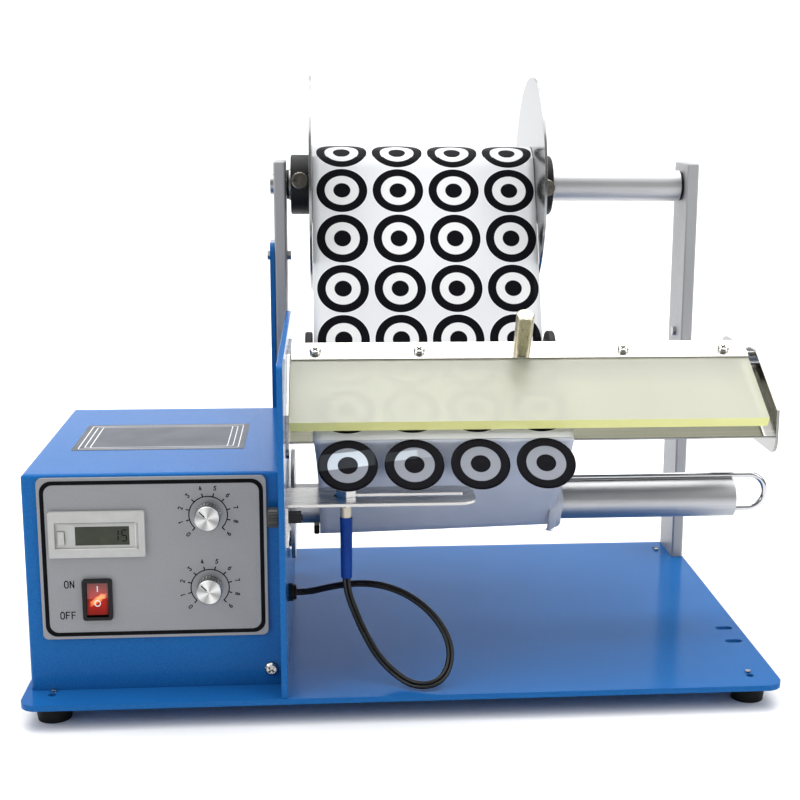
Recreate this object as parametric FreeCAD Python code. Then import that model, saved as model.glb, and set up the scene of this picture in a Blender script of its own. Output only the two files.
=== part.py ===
import FreeCAD, Part
import math
import os

V = FreeCAD.Vector
os.makedirs("parts", exist_ok=True)

# Layout while drawing: x = 0 is the middle of the base plate, y = 0 its front edge, z = 0 its top face.
# Everything is moved by one offset when it is saved, so that the part stands on z = 0 around its origin.

# Base plate and feet
base_width = 396.0
base_depth = 250.0
base_thick = 3.0
base_corner_r = 9.0
corner_hole_d = 4.0
corner_hole_inset_x = 14.7
corner_hole_inset_y = 14.0
foot_inset_y = 18.2
foot_top_d = 20.0
foot_bottom_d = 17.0
foot_height = 11.0
slot_length = 10.0
slot_width = 5.0
slot_edge_x = 9.4
slot_front_y = 63.2
slot_pitch_y = 20.4

# Running and fitting clearances, measured on the radius or across one gap
run_gap = 0.05
soft_gap = 0.3
slide_gap = 0.2

# Identical pan-head screws
screw_d = 4.0
screw_head_d = 7.0
screw_head_h = 2.4
foot_screw_d = 3.0
foot_screw_tip = 1.2
foot_screw_sink = 3.5

# Side plate and riser
plate_right_x = -63.0
plate_thick = 3.0
plate_front_y = 1.0
plate_depth = 199.0
plate_height = 173.0
plate_corner_r = 10.0
plate_foot_w = 14.0
riser_thick = 3.0
riser_height = 212.0
riser_corner_r = 6.0

# Posts
post_width = 7.4
post_depth = 33.0
post_height = 263.0
post_edge_r = 1.2
post_inset = 0.5
right_post_x = 190.3
post_bolt_d = 3.0
post_nut_af = 5.5
post_nut_h = 2.6
left_bolt_z = (95.0, 203.0)
right_bolt_z = 152.3

# Supply shaft and reel
shaft_z = 248.0
shaft_d = 20.0
shaft_end_gap = 2.0
axle_d = 8.0
axle_head_d = 13.0
axle_head_h = 2.5
bush_d = 14.0
bush_length = 12.0
bush_flange_d = 18.6
bush_flange_t = 1.5
disc_d = 136.0
disc_thick = 1.5
collar_d = 37.5
collar_width = 12.0
collar_hub_d = 25.2
collar_hub_length = 9.0
thumb_head_d = 10.5
thumb_head_h = 8.0
thumb_stem_d = 5.0
thumb_neck = 2.5
left_thumb_tilt = 8.0
core_bore = 25.5
core_d = 31.0
roll_d = 49.0

# Label web
web_left_x = -49.0
label_pitch = 34.7
label_columns = 4
label_d = 31.5
web_thick = 0.4
label_droop = 42.0

# Guide rod and rings
guide_y = 150.0
guide_z = 152.0
guide_rod_d = 12.0
guide_stud_d = 5.0
ring_d = 28.0
ring_width = 4.5
ring_web_gap = 0.4

# Tray
tray_slope = 30.0
tray_front_y = 45.5
tray_front_z = 124.0
tray_thick = 1.5
tray_floor_length = 62.0
tray_right_x = 202.0
cheek_bottom_z = 113.5
cheek_top_z = 162.0
cheek_bump_z = 163.5
cheek_rear_y = 158.0
cheek_rise = 15.0
cheek_corner_r = 8.0

# Cover of the tray, in tray measures: along the slope and up from the floor
cover_gap = 4.2
cover_thick = 6.0
cover_front_u = 4.0
cover_rear_u = 62.2
cover_left_gap = 0.3
cover_right_gap = 4.5
strip_front_u = 54.5
strip_thick = 1.0
strip_screw_u = 60.3
strip_screw_pitch = 57.5
strip_screw_head_d = 6.6
strip_screw_d = 3.0
hinge_u = 66.0
hinge_n = 3.4
hinge_rod_d = 3.0
hinge_barrel_d = 5.2
pillar_d = 10.0
pillar_height = 26.0

# Take-up spool
spool_y = 100.0
spool_z = 75.2
spool_d = 22.5
spool_wall = 2.0
spool_right_x = 194.0
spool_flange_d = 62.0
spool_flange_t = 2.0
spool_shaft_d = 10.0
spool_hub_length = 22.0
liner_roll_d = 34.0
liner_roll_inset = 3.0
clip_wire_d = 3.5
clip_leg_drop = 20.0
clip_bend_x = 203.7
clip_upper_start_x = -30.0
clip_lower_start_x = 96.0

# Sensor and its bracket
bracket_top_z = 98.5
bracket_thick = 1.5
bracket_front_y = 9.0
bracket_strip_front_y = 15.5
bracket_rear_y = 48.5
bracket_end_x = 35.3
bracket_corner_r = 9.0
bracket_leg_bottom_z = 78.0
bracket_slot_y = 32.0
bracket_slot_w = 6.4
bracket_slot_x0 = -38.5
bracket_slot_x1 = 30.5
clamp_y = 14.3
clamp_z = 92.5
clamp_stud_d = 3.0
clamp_knob_d = 10.2
clamp_knob_w = 5.8
clamp_knob_face = 1.4
clamp_block_w = 6.6
clamp_block_h = 4.8
clamp_block_d = 6.0
clamp_stud_proud = 0.6
sensor_x = -32.0
barrel_d = 6.0
barrel_bottom_z = 87.0
sensor_nut_af = 10.0
sensor_nut_h = 3.6
needle_d = 2.5
needle_top_z = 109.4
sleeve_d = 6.6
sleeve_end_d = 5.8
sleeve_bottom_z = 54.0

# Twin fibre cable: hand-chosen route, from the sleeve down over the base and back to the side plate
fibre_d = 4.2
fibre_joint = (-9.0, 16.8, 7.4)
fibre_drop_route = [
    (-32.0, 32.0, 54.0), (-32.0, 32.0, 47.4), (-28.2, 31.6, 36.0), (-22.8, 28.8, 23.6), (-15.0, 22.0, 11.4),
    fibre_joint,
]
fibre_loop_route = [
    fibre_joint, (-3.0, 11.6, 3.4), (6.6, 5.0, 2.8), (15.6, 6.6, 4.4), (21.4, 14.0, 9.6),
    (22.6, 22.6, 17.6), (18.8, 29.8, 25.8), (11.2, 36.4, 33.6), (1.4, 42.0, 39.6), (-10.0, 46.8, 43.2),
    (-22.0, 50.6, 44.0), (-34.0, 54.2, 42.0), (-44.0, 57.6, 39.0), (-52.2, 59.6, 36.4), (-59.0, 59.6, 36.4),
]
grommet_flange_d = 10.0
grommet_body_d = 8.0
grommet_length = 7.0
grommet_flange_t = 2.0

# Control box
box_left_x = -195.0
box_front_y = 20.0
box_rear_y = 175.0
box_height = 115.0
box_sheet = 1.5
box_edge_r = 2.0
fascia_left_x = -187.2
fascia_bottom_z = 28.2
fascia_width = 114.5
fascia_height = 85.3
fascia_thick = 1.5
fascia_corner_r = 3.0
box_screw_x = -71.6
box_screw_z = 8.9
lug_width = 14.0

# Counter
counter_x = -157.9
counter_z = 84.3
counter_width = 48.0
counter_height = 24.0
counter_bezel = 2.0
counter_body_w = 44.8
counter_body_h = 22.2
counter_body_depth = 36.0
counter_recess_w = 41.6
counter_recess_h = 13.2
counter_recess_depth = 0.8
window_x = -155.2
window_z = 83.5
window_w = 27.0
window_h = 9.8
reset_x = -175.6
reset_z = 82.6
reset_w = 3.2
reset_h = 6.8
reset_stand = 1.0
reset_travel = 0.8

# Rocker switch
switch_x = -159.0
switch_z = 49.5
switch_bezel_w = 15.0
switch_bezel_h = 21.8
switch_bezel_t = 2.0
switch_body_w = 12.9
switch_body_h = 19.0
switch_body_depth = 16.0
rocker_w = 10.6
rocker_h = 16.4
rocker_tilt = 9.0
rocker_range = 18.0

# Dial knobs and potentiometers
knob_x = -102.1
length_knob_z = 93.3
speed_knob_z = 54.5
knob_d = 13.0
knob_face_d = 12.0
knob_height = 8.0
knob_gap = 0.4
pot_shaft_d = 6.0
pot_bush_d = 7.0
pot_body_d = 17.0
pot_body_depth = 9.0
pot_nut_h = 1.6

# Gear motor
gearbox_d = 37.0
gearbox_length = 24.0
motor_d = 34.0
motor_length = 34.0
motor_boss_d = 12.0
motor_shaft_offset = 7.0
motor_screw_circle = 31.0
motor_screw_count = 6

# Electronics on the base
board_x0 = -188.0
board_y0 = 66.0
board_width = 78.0
board_depth = 92.0
board_thick = 1.6
standoff_height = 8.0
standoff_d = 6.0
standoff_inset = 5.0
transformer_size = (34.0, 40.0, 30.0)
amplifier_x0 = -94.0
amplifier_y0 = 138.0
amplifier_size = (11.0, 32.0, 66.0)
inlet_x = -158.0
inlet_z = 34.0
inlet_w = 28.0
inlet_h = 20.0
inlet_flange = 3.0
inlet_depth = 22.0

# Derived places
post_y0 = base_depth - post_depth - post_inset
post_y1 = post_y0 + post_depth
post_mid_y = (post_y0 + post_y1) / 2
plate_left_x = plate_right_x - plate_thick
left_post_x = plate_left_x - post_width
riser_left_x = left_post_x - riser_thick
shaft_y = post_mid_y
web_width = label_columns * label_pitch
web_right_x = web_left_x + web_width
left_disc_x = web_left_x - soft_gap - disc_thick
right_disc_x = web_right_x + soft_gap
left_collar_x = left_disc_x - collar_width
right_collar_x = right_disc_x + disc_thick
shaft_left_x = plate_left_x + shaft_end_gap
shaft_right_x = right_post_x - shaft_end_gap
box_right_x = plate_left_x
fascia_front_y = box_front_y - fascia_thick
slope = math.radians(tray_slope)
tray_left_x = plate_right_x
tray_inner_left_x = tray_left_x + tray_thick
tray_inner_right_x = tray_right_x - tray_thick
cover_left_x = tray_inner_left_x + cover_left_gap
cover_right_x = tray_inner_right_x - cover_right_gap
cover_mid_x = (cover_left_x + cover_right_x) / 2
cover_top_n = cover_gap + cover_thick
strip_top_n = cover_top_n + strip_thick
hinge_y = tray_front_y + hinge_u * math.cos(slope) - hinge_n * math.sin(slope)
hinge_z = tray_front_z + hinge_u * math.sin(slope) + hinge_n * math.cos(slope)
spool_left_x = plate_right_x + 1.2
liner_left_x = web_left_x + liner_roll_inset
liner_right_x = web_right_x - 1.0
clip_upper_z = spool_z + spool_d / 2 + clip_wire_d / 2 + slide_gap
clip_lower_z = clip_upper_z - clip_leg_drop
clip_bend_r = clip_leg_drop / 2
floor_z = -base_thick - foot_height
foot_seat_z = floor_z + foot_screw_sink
foot_x = base_width / 2 - corner_hole_inset_x
foot_places = [(sx * foot_x, y) for sx in (-1, 1) for y in (foot_inset_y, base_depth - foot_inset_y)]
model_left_x = -base_width / 2
model_right_x = clip_bend_x + clip_bend_r + clip_wire_d / 2
model_rear_y = shaft_y + disc_d / 2
offset = V(-(model_left_x + model_right_x) / 2, -model_rear_y / 2, -floor_z)


def box(x0, y0, z0, x1, y1, z1):
    return Part.makeBox(x1 - x0, y1 - y0, z1 - z0, V(x0, y0, z0))


def cyl_x(x0, x1, y, z, d):
    return Part.makeCylinder(d / 2, x1 - x0, V(x0, y, z), V(1, 0, 0))


def cyl_y(y0, y1, x, z, d):
    return Part.makeCylinder(d / 2, y1 - y0, V(x, y0, z), V(0, 1, 0))


def cyl_z(z0, z1, x, y, d):
    return Part.makeCylinder(d / 2, z1 - z0, V(x, y, z0), V(0, 0, 1))


def rounded_box(x0, y0, z0, x1, y1, z1, r, axis):
    """A box whose four edges along one axis are rounded."""
    body = box(x0, y0, z0, x1, y1, z1)
    ways = {"x": V(1, 0, 0), "y": V(0, 1, 0), "z": V(0, 0, 1)}
    edges = []
    for e in body.Edges:
        run = e.Vertexes[1].Point - e.Vertexes[0].Point
        if abs(run.normalize().dot(ways[axis])) > 0.99:
            edges.append(e)
    return body.makeFillet(r, edges)


def hexagon(af, h, place, way):
    """A nut blank: af is the size across its flats."""
    points = []
    for i in range(7):
        a = math.radians(60 * i + 30)
        points.append(V(af / math.sqrt(3) * math.cos(a), af / math.sqrt(3) * math.sin(a), 0))
    nut = Part.Face(Part.makePolygon(points)).extrude(V(0, 0, h))
    nut.Placement = FreeCAD.Placement(place, FreeCAD.Rotation(V(0, 0, 1), way))
    return nut


def pan_screw(head_face, way, length, d=screw_d, head_d=screw_head_d, head_h=screw_head_h):
    """A pan-head screw: its head stands out along way from head_face, its shank goes in."""
    back = V(way).multiply(-1)
    shank = Part.makeCylinder(d / 2, length, head_face, back)
    head = Part.makeCylinder(head_d / 2, head_h, head_face, way)
    rim = [e for e in head.Edges if e.Curve.TypeId == "Part::GeomCircle"]
    top = max(rim, key=lambda e: (e.Curve.Center - head_face).dot(way))
    head = head.makeChamfer(head_h * 0.42, [top])
    return shank.fuse(head).removeSplitter().cut(cross_recess(head_face, way, head_d, head_h))


def cross_recess(head_face, way, head_d, head_h):
    """The cross that a driver fits, cut from the top of a head down to a third of its height."""
    arm, width, depth = 0.56 * head_d, 0.15 * head_d, 0.66 * head_h
    bars = []
    for turn in (45, 135):
        bar = Part.makeBox(arm, width, depth + 1, V(-arm / 2, -width / 2, head_h - depth))
        bar.rotate(V(0, 0, 0), V(0, 0, 1), turn)
        bars.append(bar)
    cross = bars[0].fuse(bars[1])
    cross.Placement = FreeCAD.Placement(head_face, FreeCAD.Rotation(V(0, 0, 1), way))
    return cross


def plate_yz(points, x0, x1):
    """A flat plate from its outline in y and z."""
    wire = Part.makePolygon([V(x0, y, z) for y, z in points + points[:1]])
    return Part.Face(wire).extrude(V(x1 - x0, 0, 0))


def round_corners(plate, corners, r):
    """Rounds the plate's edges along x that pass through the given y, z corners."""
    edges = []
    for e in plate.Edges:
        a, b = e.Vertexes[0].Point, e.Vertexes[-1].Point
        if abs(a.y - b.y) < 1e-6 and abs(a.z - b.z) < 1e-6:
            if any(abs(a.y - y) < 1e-6 and abs(a.z - z) < 1e-6 for y, z in corners):
                edges.append(e)
    return plate.makeFillet(r, edges)


def tray_point(u, n, x=0.0):
    """A point in tray measures: u up the slope from its front edge, n above its floor."""
    y = tray_front_y + u * math.cos(slope) - n * math.sin(slope)
    z = tray_front_z + u * math.sin(slope) + n * math.cos(slope)
    return V(x, y, z)


tray_up = V(0, -math.sin(slope), math.cos(slope))


def tray_slab(x0, x1, u0, u1, n0, n1):
    corners = [tray_point(u, n) for u, n in ((u0, n0), (u1, n0), (u1, n1), (u0, n1))]
    return plate_yz([(p.y, p.z) for p in corners], x0, x1)


def tangent(circle_a, circle_b):
    """The straight run from one circle to the next. A circle is y, z, radius, and side: 1 if its centre
    lies left of the way of travel, -1 if right. Returns the heading and both touching points."""
    ya, za, ra, sa = circle_a
    yb, zb, rb, sb = circle_b
    gap = math.hypot(yb - ya, zb - za)
    heading = math.atan2(zb - za, yb - ya) - math.asin((sb * rb - sa * ra) / gap)
    left = (-math.sin(heading), math.cos(heading))
    start = (ya - sa * ra * left[0], za - sa * ra * left[1])
    end = (yb - sb * rb * left[0], zb - sb * rb * left[1])
    return heading, start, end


def ribbon(circles, turn_in, turn_out, x0, x1):
    """A sheet of web_thick that runs round the circles, starting turn_in before the first tangent
    point and ending turn_out after the last, both in degrees."""
    runs = [tangent(a, b) for a, b in zip(circles, circles[1:])]
    half = web_thick / 2
    sides = []
    for way in (1, -1):
        edges = []
        for i, (y, z, r, s) in enumerate(circles):
            a_in = runs[i - 1][0] if i else runs[0][0] - s * math.radians(turn_in)
            a_out = runs[i][0] if i < len(runs) else a_in + s * math.radians(turn_out)
            if (a_out - a_in) * s < 0:
                a_out += s * 2 * math.pi
            if abs(a_out - a_in) > 1e-6:
                radius = r - s * way * half
                spots = []
                for a in (a_in, (a_in + a_out) / 2, a_out):
                    spots.append(V(x0, y + s * radius * math.sin(a), z - s * radius * math.cos(a)))
                edges.append(Part.Arc(*spots).toShape())
            if i < len(runs):
                heading, p, q = runs[i]
                shift = (-way * half * math.sin(heading), way * half * math.cos(heading))
                edges.append(Part.LineSegment(V(x0, p[0] + shift[0], p[1] + shift[1]),
                                              V(x0, q[0] + shift[0], q[1] + shift[1])).toShape())
        sides.append(edges)
    ends = []
    for pick in (0, -1):
        pair = []
        for edges in sides:
            e = edges[pick]
            pair.append(e.valueAt(e.FirstParameter if pick == 0 else e.LastParameter))
        ends.append(Part.LineSegment(pair[0], pair[1]).toShape())
    wire = Part.Wire(Part.__sortEdges__(sides[0] + sides[1] + ends))
    return Part.Face(wire).extrude(V(x1 - x0, 0, 0))


def cord_tube(points, d):
    """A cord's tube: straight runs joined by the largest tangent arcs that fit."""
    pts = [V(*p) for p in points]
    edges = []
    radii = []
    start = pts[0]
    for a, b, c in zip(pts, pts[1:], pts[2:]):
        run_in = (b - a)
        run_out = (c - b)
        short = min(run_in.Length, run_out.Length)
        turn = run_in.getAngle(run_out)
        radius = 0.45 * short / math.tan(turn / 2)
        back = radius * math.tan(turn / 2)
        way_in = V(run_in).normalize()
        way_out = V(run_out).normalize()
        p_in = b - way_in * back
        p_out = b + way_out * back
        bisector = (way_out - way_in).normalize()
        centre = b + bisector * (radius / math.cos(turn / 2))
        middle = centre - bisector * radius
        edges.append(Part.LineSegment(start, p_in).toShape())
        edges.append(Part.Arc(p_in, middle, p_out).toShape())
        radii.append(radius)
        start = p_out
    edges.append(Part.LineSegment(start, pts[-1]).toShape())
    path = Part.Wire(edges)
    way = (pts[1] - pts[0]).normalize()
    ring = Part.Wire([Part.Circle(pts[0], way, d / 2).toShape()])
    tube = path.makePipeShell([ring], True, False)
    length = path.Length
    print("cord length %.1f, smallest radius %.1f, volume against section times length %.4f"
          % (length, min(radii), tube.Volume / (math.pi * d * d / 4 * length)))
    return tube


# Base plate with corner holes, screw holes and accessory slots
def base_plate():
    half = base_width / 2
    plate = rounded_box(-half, 0, -base_thick, half, base_depth, 0, base_corner_r, "z")
    for x, y in foot_places:
        toward_edge = -1 if y < base_depth / 2 else 1
        hole_y = y + toward_edge * (foot_inset_y - corner_hole_inset_y)
        plate = plate.cut(cyl_z(-base_thick, 0, x, hole_y, corner_hole_d))
        plate = plate.cut(cyl_z(-base_thick, 0, x, y, foot_screw_d + 2 * run_gap))
    for i in range(2):
        y = slot_front_y + i * slot_pitch_y
        x1 = half - slot_edge_x + slot_length / 2
        slot = box(x1 - slot_length + slot_width / 2, y - slot_width / 2, -base_thick,
                   x1 - slot_width / 2, y + slot_width / 2, 0)
        for x in (x1 - slot_length + slot_width / 2, x1 - slot_width / 2):
            slot = slot.fuse(cyl_z(-base_thick, 0, x, y, slot_width))
        plate = plate.cut(slot)
    return plate


def rubber_feet():
    feet = []
    for x, y in foot_places:
        foot = Part.makeCone(foot_bottom_d / 2, foot_top_d / 2, foot_height, V(x, y, floor_z))
        pocket = cyl_z(floor_z, foot_seat_z, x, y, screw_head_d + 1.0)
        bore = cyl_z(floor_z, -base_thick, x, y, foot_screw_d + 2 * run_gap)
        feet.append(foot.cut(pocket).cut(bore))
    return Part.makeCompound(feet)


# Side plate: a full-height sheet with a foot turned in under the box
def side_plate():
    y0, y1 = plate_front_y, plate_front_y + plate_depth
    outline = [(y0, 0), (y1, 0), (y1, plate_height), (y0, plate_height)]
    plate = plate_yz(outline, plate_left_x, plate_right_x)
    plate = round_corners(plate, [(y1, plate_height)], plate_corner_r)
    plate = round_corners(plate, [(y0, plate_height)], plate_corner_r / 3)
    foot = box(plate_left_x - plate_foot_w, box_front_y + 10, 0, plate_left_x, post_y0 - 20, plate_thick)
    plate = plate.fuse(foot).removeSplitter()
    holes = [
        (spool_y, spool_z, bearing_d),
        (fibre_loop_route[-1][1], fibre_loop_route[-1][2], grommet_body_d),
        (clamp_y, clamp_z, clamp_stud_d + 2 * run_gap),
    ]
    holes += [(y, z, screw_d) for y, z in cheek_screw_places + gearbox_screw_places]
    for y, z, d in holes:
        plate = plate.cut(cyl_x(plate_left_x, plate_right_x, y, z, d))
    return plate


def rear_riser():
    outline = [(post_y0, 0), (post_y1, 0), (post_y1, riser_height), (post_y0, riser_height)]
    sheet = plate_yz(outline, riser_left_x, left_post_x)
    sheet = round_corners(sheet, [(post_y0, riser_height), (post_y1, riser_height)], riser_corner_r)
    foot = box(riser_left_x - plate_foot_w, post_y0, 0, riser_left_x, post_y1, riser_thick)
    for z in left_bolt_z:
        sheet = sheet.cut(cyl_x(riser_left_x, left_post_x, post_mid_y, z, post_bolt_d))
    return sheet.fuse(foot).removeSplitter()


def post(x0, bolt_heights):
    bar = box(x0, post_y0, 0, x0 + post_width, post_y1, post_height)
    edges = []
    for e in bar.Edges:
        a, b = e.Vertexes[0].Point, e.Vertexes[1].Point
        upright = abs(a.z - b.z) > 1
        if not upright and min(a.z, b.z) > post_height - 1e-6:
            edges.append(e)
        if upright and a.y < post_y0 + 1e-6:
            edges.append(e)
    bar = bar.makeFillet(post_edge_r, edges)
    bar = bar.cut(cyl_x(x0, x0 + post_width, shaft_y, shaft_z, axle_d + 2 * run_gap))
    for z in bolt_heights:
        bar = bar.cut(cyl_x(x0, x0 + post_width, post_mid_y, z, post_bolt_d))
    return bar


def cross_bolt(x0, x1, z):
    """A bolt through everything from x0 to x1, its head left and its nut right."""
    shank = cyl_x(x0, x1 + post_nut_h, post_mid_y, z, post_bolt_d)
    head = hexagon(post_nut_af, post_nut_h - 0.5, V(x0 - post_nut_h + 0.5, post_mid_y, z), V(1, 0, 0))
    nut = hexagon(post_nut_af, post_nut_h, V(x1, post_mid_y, z), V(1, 0, 0))
    return shank.fuse(head).fuse(nut)


def post_bolts():
    bolts = [cross_bolt(riser_left_x, plate_left_x, z) for z in left_bolt_z]
    bolts.append(cross_bolt(right_post_x, right_post_x + post_width, right_bolt_z))
    return Part.makeCompound(bolts)


def axle_pins():
    pins = []
    for outer, way in ((left_post_x, 1), (right_post_x + post_width, -1)):
        reach = post_width + shaft_end_gap + bush_length - 1.0
        a, b = sorted((outer, outer + way * reach))
        pin = cyl_x(a, b, shaft_y, shaft_z, axle_d)
        a, b = sorted((outer, outer - way * axle_head_h))
        pins.append(pin.fuse(cyl_x(a, b, shaft_y, shaft_z, axle_head_d)))
    return Part.makeCompound(pins)


# Supply shaft with a flanged bush pressed into each end
def supply_shaft():
    bar = cyl_x(shaft_left_x, shaft_right_x, shaft_y, shaft_z, shaft_d)
    for a, b in ((shaft_left_x, shaft_left_x + bush_length), (shaft_right_x - bush_length, shaft_right_x)):
        bar = bar.cut(cyl_x(a, b, shaft_y, shaft_z, bush_d))
    return bar


def shaft_bushes():
    bushes = []
    for end, way in ((shaft_left_x, 1), (shaft_right_x, -1)):
        a, b = sorted((end, end + way * bush_length))
        bush = cyl_x(a, b, shaft_y, shaft_z, bush_d)
        a, b = sorted((end, end - way * bush_flange_t))
        bush = bush.fuse(cyl_x(a, b, shaft_y, shaft_z, bush_flange_d))
        a, b = sorted((end - way * bush_flange_t, end + way * bush_length))
        bushes.append(bush.cut(cyl_x(a, b, shaft_y, shaft_z, axle_d + 2 * run_gap)))
    return Part.makeCompound(bushes)


def reel_disc(x0):
    disc = cyl_x(x0, x0 + disc_thick, shaft_y, shaft_z, disc_d)
    return disc.cut(cyl_x(x0, x0 + disc_thick, shaft_y, shaft_z, collar_hub_d))


def thumb_way(tilt):
    return V(0, -math.cos(math.radians(tilt)), math.sin(math.radians(tilt)))


def reel_collar(x0, hub_way, bore_gap, tilt):
    """A collar outside its disc, with a hub that goes through the disc into the core."""
    x1 = x0 + collar_width
    ring = cyl_x(x0, x1, shaft_y, shaft_z, collar_d)
    ring = ring.makeChamfer(0.8, [e for e in ring.Edges if e.Curve.TypeId == "Part::GeomCircle"])
    inner = x1 if hub_way > 0 else x0
    a, b = sorted((inner, inner + hub_way * collar_hub_length))
    ring = ring.fuse(cyl_x(a, b, shaft_y, shaft_z, collar_hub_d))
    a, b = sorted((x1 if hub_way < 0 else x0, inner + hub_way * collar_hub_length))
    ring = ring.cut(cyl_x(a, b, shaft_y, shaft_z, shaft_d + 2 * bore_gap))
    mid = V((x0 + x1) / 2, shaft_y, shaft_z)
    return ring.cut(Part.makeCylinder(thumb_stem_d / 2 + run_gap, collar_d, mid, thumb_way(tilt)))


def thumb_screw(x_mid, tilt):
    """A knurled screw whose tip stops just off the shaft."""
    way = thumb_way(tilt)
    axis_point = V(x_mid, shaft_y, shaft_z)
    tip = axis_point + way * (shaft_d / 2 + slide_gap)
    seat = collar_d / 2 + thumb_neck
    stem = Part.makeCylinder(thumb_stem_d / 2, seat - shaft_d / 2 - slide_gap, tip, way)
    head = Part.makeCylinder(thumb_head_d / 2, thumb_head_h, axis_point + way * seat, way)
    rims = [e for e in head.Edges if e.Curve.TypeId == "Part::GeomCircle"]
    head = head.makeChamfer(0.7, rims)
    for i in range(16):
        turn = FreeCAD.Rotation(way, 22.5 * i)
        side = turn.multVec(V(1, 0, 0)) * (thumb_head_d / 2 + 0.25)
        groove = Part.makeCylinder(0.55, thumb_head_h, axis_point + way * seat + side, way)
        head = head.cut(groove)
    return stem.fuse(head)


def tube_x(x0, x1, y, z, outer, inner):
    return cyl_x(x0, x1, y, z, outer).cut(cyl_x(x0, x1, y, z, inner))


# Web: from the front of the roll, under the guide rod, over the tray floor to its front edge
lift = soft_gap + web_thick / 2
edge_r = tray_thick / 2 + lift
roll_circle = (shaft_y, shaft_z, roll_d / 2 + lift, 1)
guide_circle = (guide_y, guide_z, guide_rod_d / 2 + lift, -1)
rear_mid = tray_point(tray_floor_length - tray_thick / 2, -tray_thick / 2)
front_mid = tray_point(tray_thick / 2, -tray_thick / 2)
rear_circle = (rear_mid.y, rear_mid.z, edge_r, 1)
front_circle = (front_mid.y, front_mid.z, edge_r, 1)
liner_circle = (spool_y, spool_z, liner_roll_d / 2 + lift, 1)


def label_web():
    return ribbon([roll_circle, guide_circle, rear_circle, front_circle], 20, 1, web_left_x, web_right_x)


def waste_liner():
    return ribbon([front_circle, liner_circle], 85, 100, liner_left_x, liner_right_x)


def dispensed_labels():
    """The front row, each label standing out from the peeling edge and drooping a little."""
    droop = math.radians(label_droop)
    forward = V(0, -math.cos(droop), -math.sin(droop))
    upward = V(0, -math.sin(droop), math.cos(droop))
    start = V(0, front_mid.y, front_mid.z) + upward * (edge_r + web_thick / 2 + 0.1)
    labels = []
    for i in range(label_columns):
        x = web_left_x + label_pitch * (i + 0.5)
        centre = start + forward * (label_d / 2) + V(x, 0, 0)
        labels.append(Part.makeCylinder(label_d / 2, web_thick, centre, upward))
    return Part.makeCompound(labels)


# Guide rod between the side plate and the tray's right cheek
def guide_rod():
    rod = cyl_x(tray_inner_left_x, tray_inner_right_x, guide_y, guide_z, guide_rod_d)
    for a, b in ((tray_inner_left_x - tray_thick, tray_inner_left_x), (tray_inner_right_x, tray_right_x + 4.0)):
        rod = rod.fuse(cyl_x(a, b, guide_y, guide_z, guide_stud_d))
    acorn = hexagon(guide_stud_d + 3, 3.2, V(tray_right_x, guide_y, guide_z), V(1, 0, 0))
    return rod.fuse(acorn)


def guide_ring(x0):
    ring = cyl_x(x0, x0 + ring_width, guide_y, guide_z, ring_d)
    ring = ring.makeChamfer(0.8, [e for e in ring.Edges if e.Curve.TypeId == "Part::GeomCircle"])
    return ring.cut(cyl_x(x0, x0 + ring_width, guide_y, guide_z, guide_rod_d + 2 * run_gap))


# Tray: a sloping floor with a flat cheek at each end, bent from one sheet
def cheek_outline():
    front_low = tray_front_y + 0.2
    top_run = (cheek_bump_z - (tray_front_z + 14.4)) / math.tan(slope)
    return [
        (front_low, cheek_bottom_z), (guide_y - 40, cheek_bottom_z), (cheek_rear_y, guide_z - cheek_rise),
        (cheek_rear_y, cheek_top_z), (hinge_y + 4, cheek_top_z), (hinge_y + 2.5, cheek_bump_z),
        (front_low + top_run, cheek_bump_z), (front_low, tray_front_z + 14.4),
    ]


def label_tray():
    outline = cheek_outline()
    tray = tray_slab(tray_left_x, tray_right_x, 0, tray_floor_length, -tray_thick, 0)
    front_edges = []
    for e in tray.Edges:
        a, b = e.Vertexes[0].Point, e.Vertexes[-1].Point
        if abs(a.x - b.x) > 1:
            front_edges.append(e)
    tray = tray.makeFillet(tray_thick / 2 - 0.01, front_edges)
    for x0 in (tray_left_x, tray_inner_right_x):
        cheek = plate_yz(outline, x0, x0 + tray_thick)
        cheek = round_corners(cheek, [outline[0], outline[2], outline[3]], cheek_corner_r)
        cheek = cheek.cut(cyl_x(x0, x0 + tray_thick, guide_y, guide_z, guide_stud_d))
        cheek = cheek.cut(cyl_x(x0, x0 + tray_thick, hinge_y, hinge_z, hinge_rod_d))
        tray = tray.fuse(cheek)
    for y, z in cheek_screw_places:
        tray = tray.cut(cyl_x(tray_left_x, tray_inner_left_x, y, z, screw_d))
    return tray.removeSplitter()


def cover_hinge_rod():
    rod = cyl_x(tray_left_x, tray_right_x, hinge_y, hinge_z, hinge_rod_d)
    return rod.fuse(cyl_x(tray_right_x, tray_right_x + 1.2, hinge_y, hinge_z, hinge_rod_d + 1.4))


# Cover: acrylic sheet, clamping strip with a rolled hinge barrel, screws and the lift pillar
strip_screw_x = [cover_mid_x + k * strip_screw_pitch for k in (-2, -1, 1, 2)]


def acrylic_cover():
    sheet = tray_slab(cover_left_x, cover_right_x, cover_front_u, cover_rear_u, cover_gap, cover_top_n)
    for x in strip_screw_x + [cover_mid_x]:
        low = tray_point(strip_screw_u, cover_gap, x)
        sheet = sheet.cut(Part.makeCylinder(strip_screw_d / 2, cover_thick, low, tray_up))
    return sheet


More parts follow.
